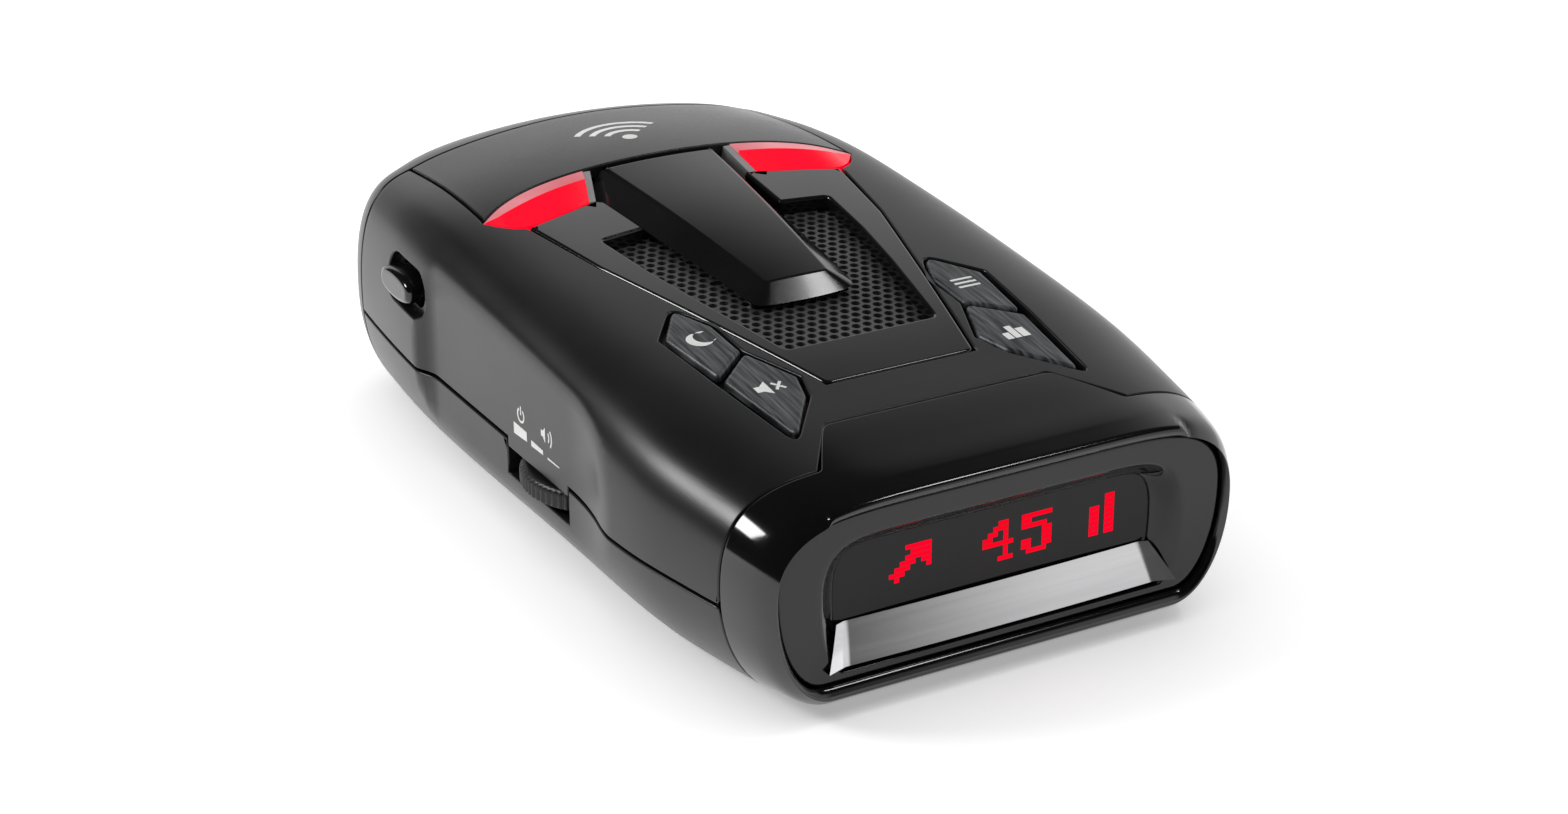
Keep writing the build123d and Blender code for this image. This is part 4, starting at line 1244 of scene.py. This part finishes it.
def wheel_sheet():
    """Knurled disc: rounded rim with upright ribs, flat faces and a bored hub."""
    sheet = Sheet()
    count = RIBS * 6
    angle = np.arange(count) * 2 * pi / count
    groove = RIB_DEPTH * (1 - (0.5 + 0.5 * np.cos(angle * RIBS)) ** 0.7)
    z0, z1 = wheel_low[2], wheel_high[2]
    profile = [(1.6, z0, 0), (9.3, z0, 0), (9.9, z0 + 0.12, 0.4), (WHEEL_R, z0 + 0.5, 1),
               (WHEEL_R, z1 - 0.5, 1), (9.9, z1 - 0.12, 0.4), (9.3, z1, 0), (1.6, z1, 0), (1.6, z0, 0)]
    starts = []
    for r, z, ribbed in profile:
        radius = r - ribbed * groove
        starts.append(sheet.add(xyz(WHEEL_X + radius * np.cos(angle), WHEEL_Y + radius * np.sin(angle), z)))
    out = xyz(np.cos(angle), np.sin(angle), 0.0)
    slope = np.gradient(WHEEL_R - groove) / (2 * pi * WHEEL_R / count)
    ribbed_out = unit(out - xyz(-np.sin(angle), np.cos(angle), 0.0) * slope[:, None])
    down = out * 0 - (0, 0, 1)
    falling, rising = unit(out + down), unit(out - down)
    turns = [(down, down), (down, falling), (falling, ribbed_out), (ribbed_out, ribbed_out),
             (ribbed_out, rising), (rising, -down), (-down, -down), (-out, -out)]
    for k, (n0, n1) in enumerate(turns):
        sheet.strip(starts[k + 1], starts[k], n1, n0)
    return sheet



finished(wheel_sheet(), "thumbwheel_disc", "wheel", rubber_look, ["thumbwheel"])


PILL_HALF_Y, PILL_HALF_Z = 4.35, 1.95
PILL_DOME = 0.75
PILL_COUNT = 48


def release_sheet():
    """Long pill with full-round ends and a domed face, along X from the pocket floor outwards."""
    sheet = Sheet()
    low, high = (np.array(v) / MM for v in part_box("release_button"))
    _, y_mid, z_mid = (low + high) / 2
    angle = np.arange(PILL_COUNT) * 2 * pi / PILL_COUNT
    outline_y = (PILL_HALF_Y - PILL_HALF_Z) * np.clip(1.25 * np.cos(angle), -1, 1)
    outline_y = outline_y + PILL_HALF_Z * np.cos(angle)
    outline_z = PILL_HALF_Z * np.sin(angle)
    rows = []
    for t in np.linspace(0, pi / 2, 8):
        inset = PILL_DOME * (1 - cos(t))
        x = low[0] + PILL_DOME * (1 - sin(t))
        scale_y = (PILL_HALF_Y - inset) / PILL_HALF_Y
        scale_z = (PILL_HALF_Z - inset) / PILL_HALF_Z
        rows.append(xyz(x, y_mid + outline_y * scale_y, z_mid + outline_z * scale_z))
    rows.insert(0, rows[0] + (3.4, 0, 0))
    starts = loft_rows(sheet, rows, flip=True)
    middle = sheet.add([(low[0] - 0.05, y_mid, z_mid)])
    back = sheet.add([(rows[0][0][0], y_mid, z_mid)])
    for k in range(PILL_COUNT):
        j = (k + 1) % PILL_COUNT
        sheet.face((starts[-1] + k, middle, starts[-1] + j), [(-1, 0, 0)] * 3)
        sheet.face((starts[0] + k, starts[0] + j, back), [(1, 0, 0)] * 3)
    return sheet


finished(release_sheet(), "release_button_cap", "release", gloss_look, ["release_button"])


# ---- CAD pieces that no skin replaces ----

component_look = plastic("component_black", greys(0.010, 0.018), 0.45, 0.06)
pale_look = plastic("pale_plastic", greys(0.50, 0.64, -0.02), 0.4, 0.05)
INNER_LOOKS = {
    "board_green": plastic("solder_mask", [(0.008, 0.06, 0.02), (0.012, 0.09, 0.03)], 0.35, 0.05),
    "display_glass": plastic("display_glass", [(0.006, 0.003, 0.003), (0.01, 0.005, 0.005)], 0.08, 0.02),
    "led_white": pale_look,
    "flex_white": pale_look,
    "cast_metal": plated("cast_alloy", greys(0.36, 0.52, 0.01), 0.45, (1.0, 1.0, 1.0)),
    "steel": metal_look,
}
slots = {s["node"]: s["material_slot"] for s in frame["record"]["subparts"]}
for node, made in frame["nodes"].items():
    if not made.hide_render:
        painted(made, INNER_LOOKS.get(slots[node], component_look))

# ---- stage, lights and camera ----

FLOOR_REACH = 3.0
floor_mesh = bpy.data.meshes.new("floor")
floor_corners = box_corners(-FLOOR_REACH, -FLOOR_REACH, FLOOR_REACH, FLOOR_REACH, 0)
floor_mesh.from_pydata(floor_corners, [], [(0, 1, 2, 3)])
floor = linked("floor", floor_mesh)
floor_mat, floor_tree, floor_shader, floor_place = new_material("floor_paper")
wired(floor_tree, floor_shader, {
    "Base Color": ramp(floor_tree, noise(floor_tree, floor_place, 8.0), (0.90,) * 3, (0.93,) * 3),
    "Roughness": 0.9, "Emission Color": (1, 1, 1, 1), "Emission Strength": 0.35})
floor_mesh.materials.append(floor_mat)


def aimed(name, data, place, direction):
    """Object at a place that looks along a direction."""
    made = linked(name, data)
    made.location = place
    made.rotation_mode = "QUATERNION"
    made.rotation_quaternion = direction.to_track_quat("-Z", "Y")
    return made


def softbox(name, place, aim, size, power, glossy=True):
    light = bpy.data.lights.new(name, "AREA")
    light.shape = "RECTANGLE"
    light.size, light.size_y = size
    light.energy = power
    aimed(name, light, place, Vector(aim) - Vector(place)).visible_glossy = glossy


softbox("overhead_fill", (0, 0, 1.6), (0, 0, 0), (2.6, 2.6), 26.0, glossy=False)
softbox("far_left_box", (-0.72, 0.40, 0.57), (-0.02, -0.03, 0.025), (0.30, 0.28), 4.6)
softbox("overhead_strip", (0.45, -0.17, 0.87), (0, -0.02, 0.03), (0.36, 0.05), 0.8)

world = bpy.data.worlds.new("studio")
bpy.context.scene.world = world
world.use_nodes = True
sky = world.node_tree
generated = sky.nodes.new("ShaderNodeTexCoord").outputs["Generated"]
split = add_node(sky, "SeparateXYZ", {"Vector": generated}).outputs


def world_math(kind, a, b):
    made = sky.nodes.new("ShaderNodeMath")
    made.operation = kind
    return wired(sky, made, {0: a, 1: b}).outputs[0]


def world_span(source, start, end, low, high):
    spans = {"Value": source, "From Min": start, "From Max": end, "To Min": low, "To Max": high}
    return add_node(sky, "MapRange", spans).outputs["Result"]


# Pale walls low down all round, higher on the right; they are dim in front of the sill's left half
leftward = world_math("MAXIMUM", world_math("MULTIPLY", split["X"], -1.7), 0.0)
level = world_math("ADD", split["Z"], leftward)
walls = ramp(sky, level, (0.85,) * 3, (0.02,) * 3, 0.42, 0.62)
across = world_span(split["X"], 0.42, 0.53, 0.12, 1.0)
behind = world_span(split["Y"], -0.70, -0.50, 0.0, 1.0)
shade = sky.nodes.new("ShaderNodeMix")
shade.data_type = "RGBA"
shade.blend_type = "MULTIPLY"
wired(sky, shade, {"Factor": 1.0, "A": walls, "B": world_math("MAXIMUM", across, behind)})
wired(sky, sky.nodes["Background"], {"Color": shade.outputs["Result"], "Strength": 1.0})

camera_data = bpy.data.cameras.new("camera")
camera_data.lens = 70.0
camera_data.sensor_width = 36.0
camera_data.clip_start = 0.01
camera = aimed("camera", camera_data, (-0.16856, -0.30315, 0.16403), Vector((0.4526, 0.7942, -0.4056)))
bpy.context.scene.camera = camera
bpy.context.scene.view_settings.view_transform = "Standard"
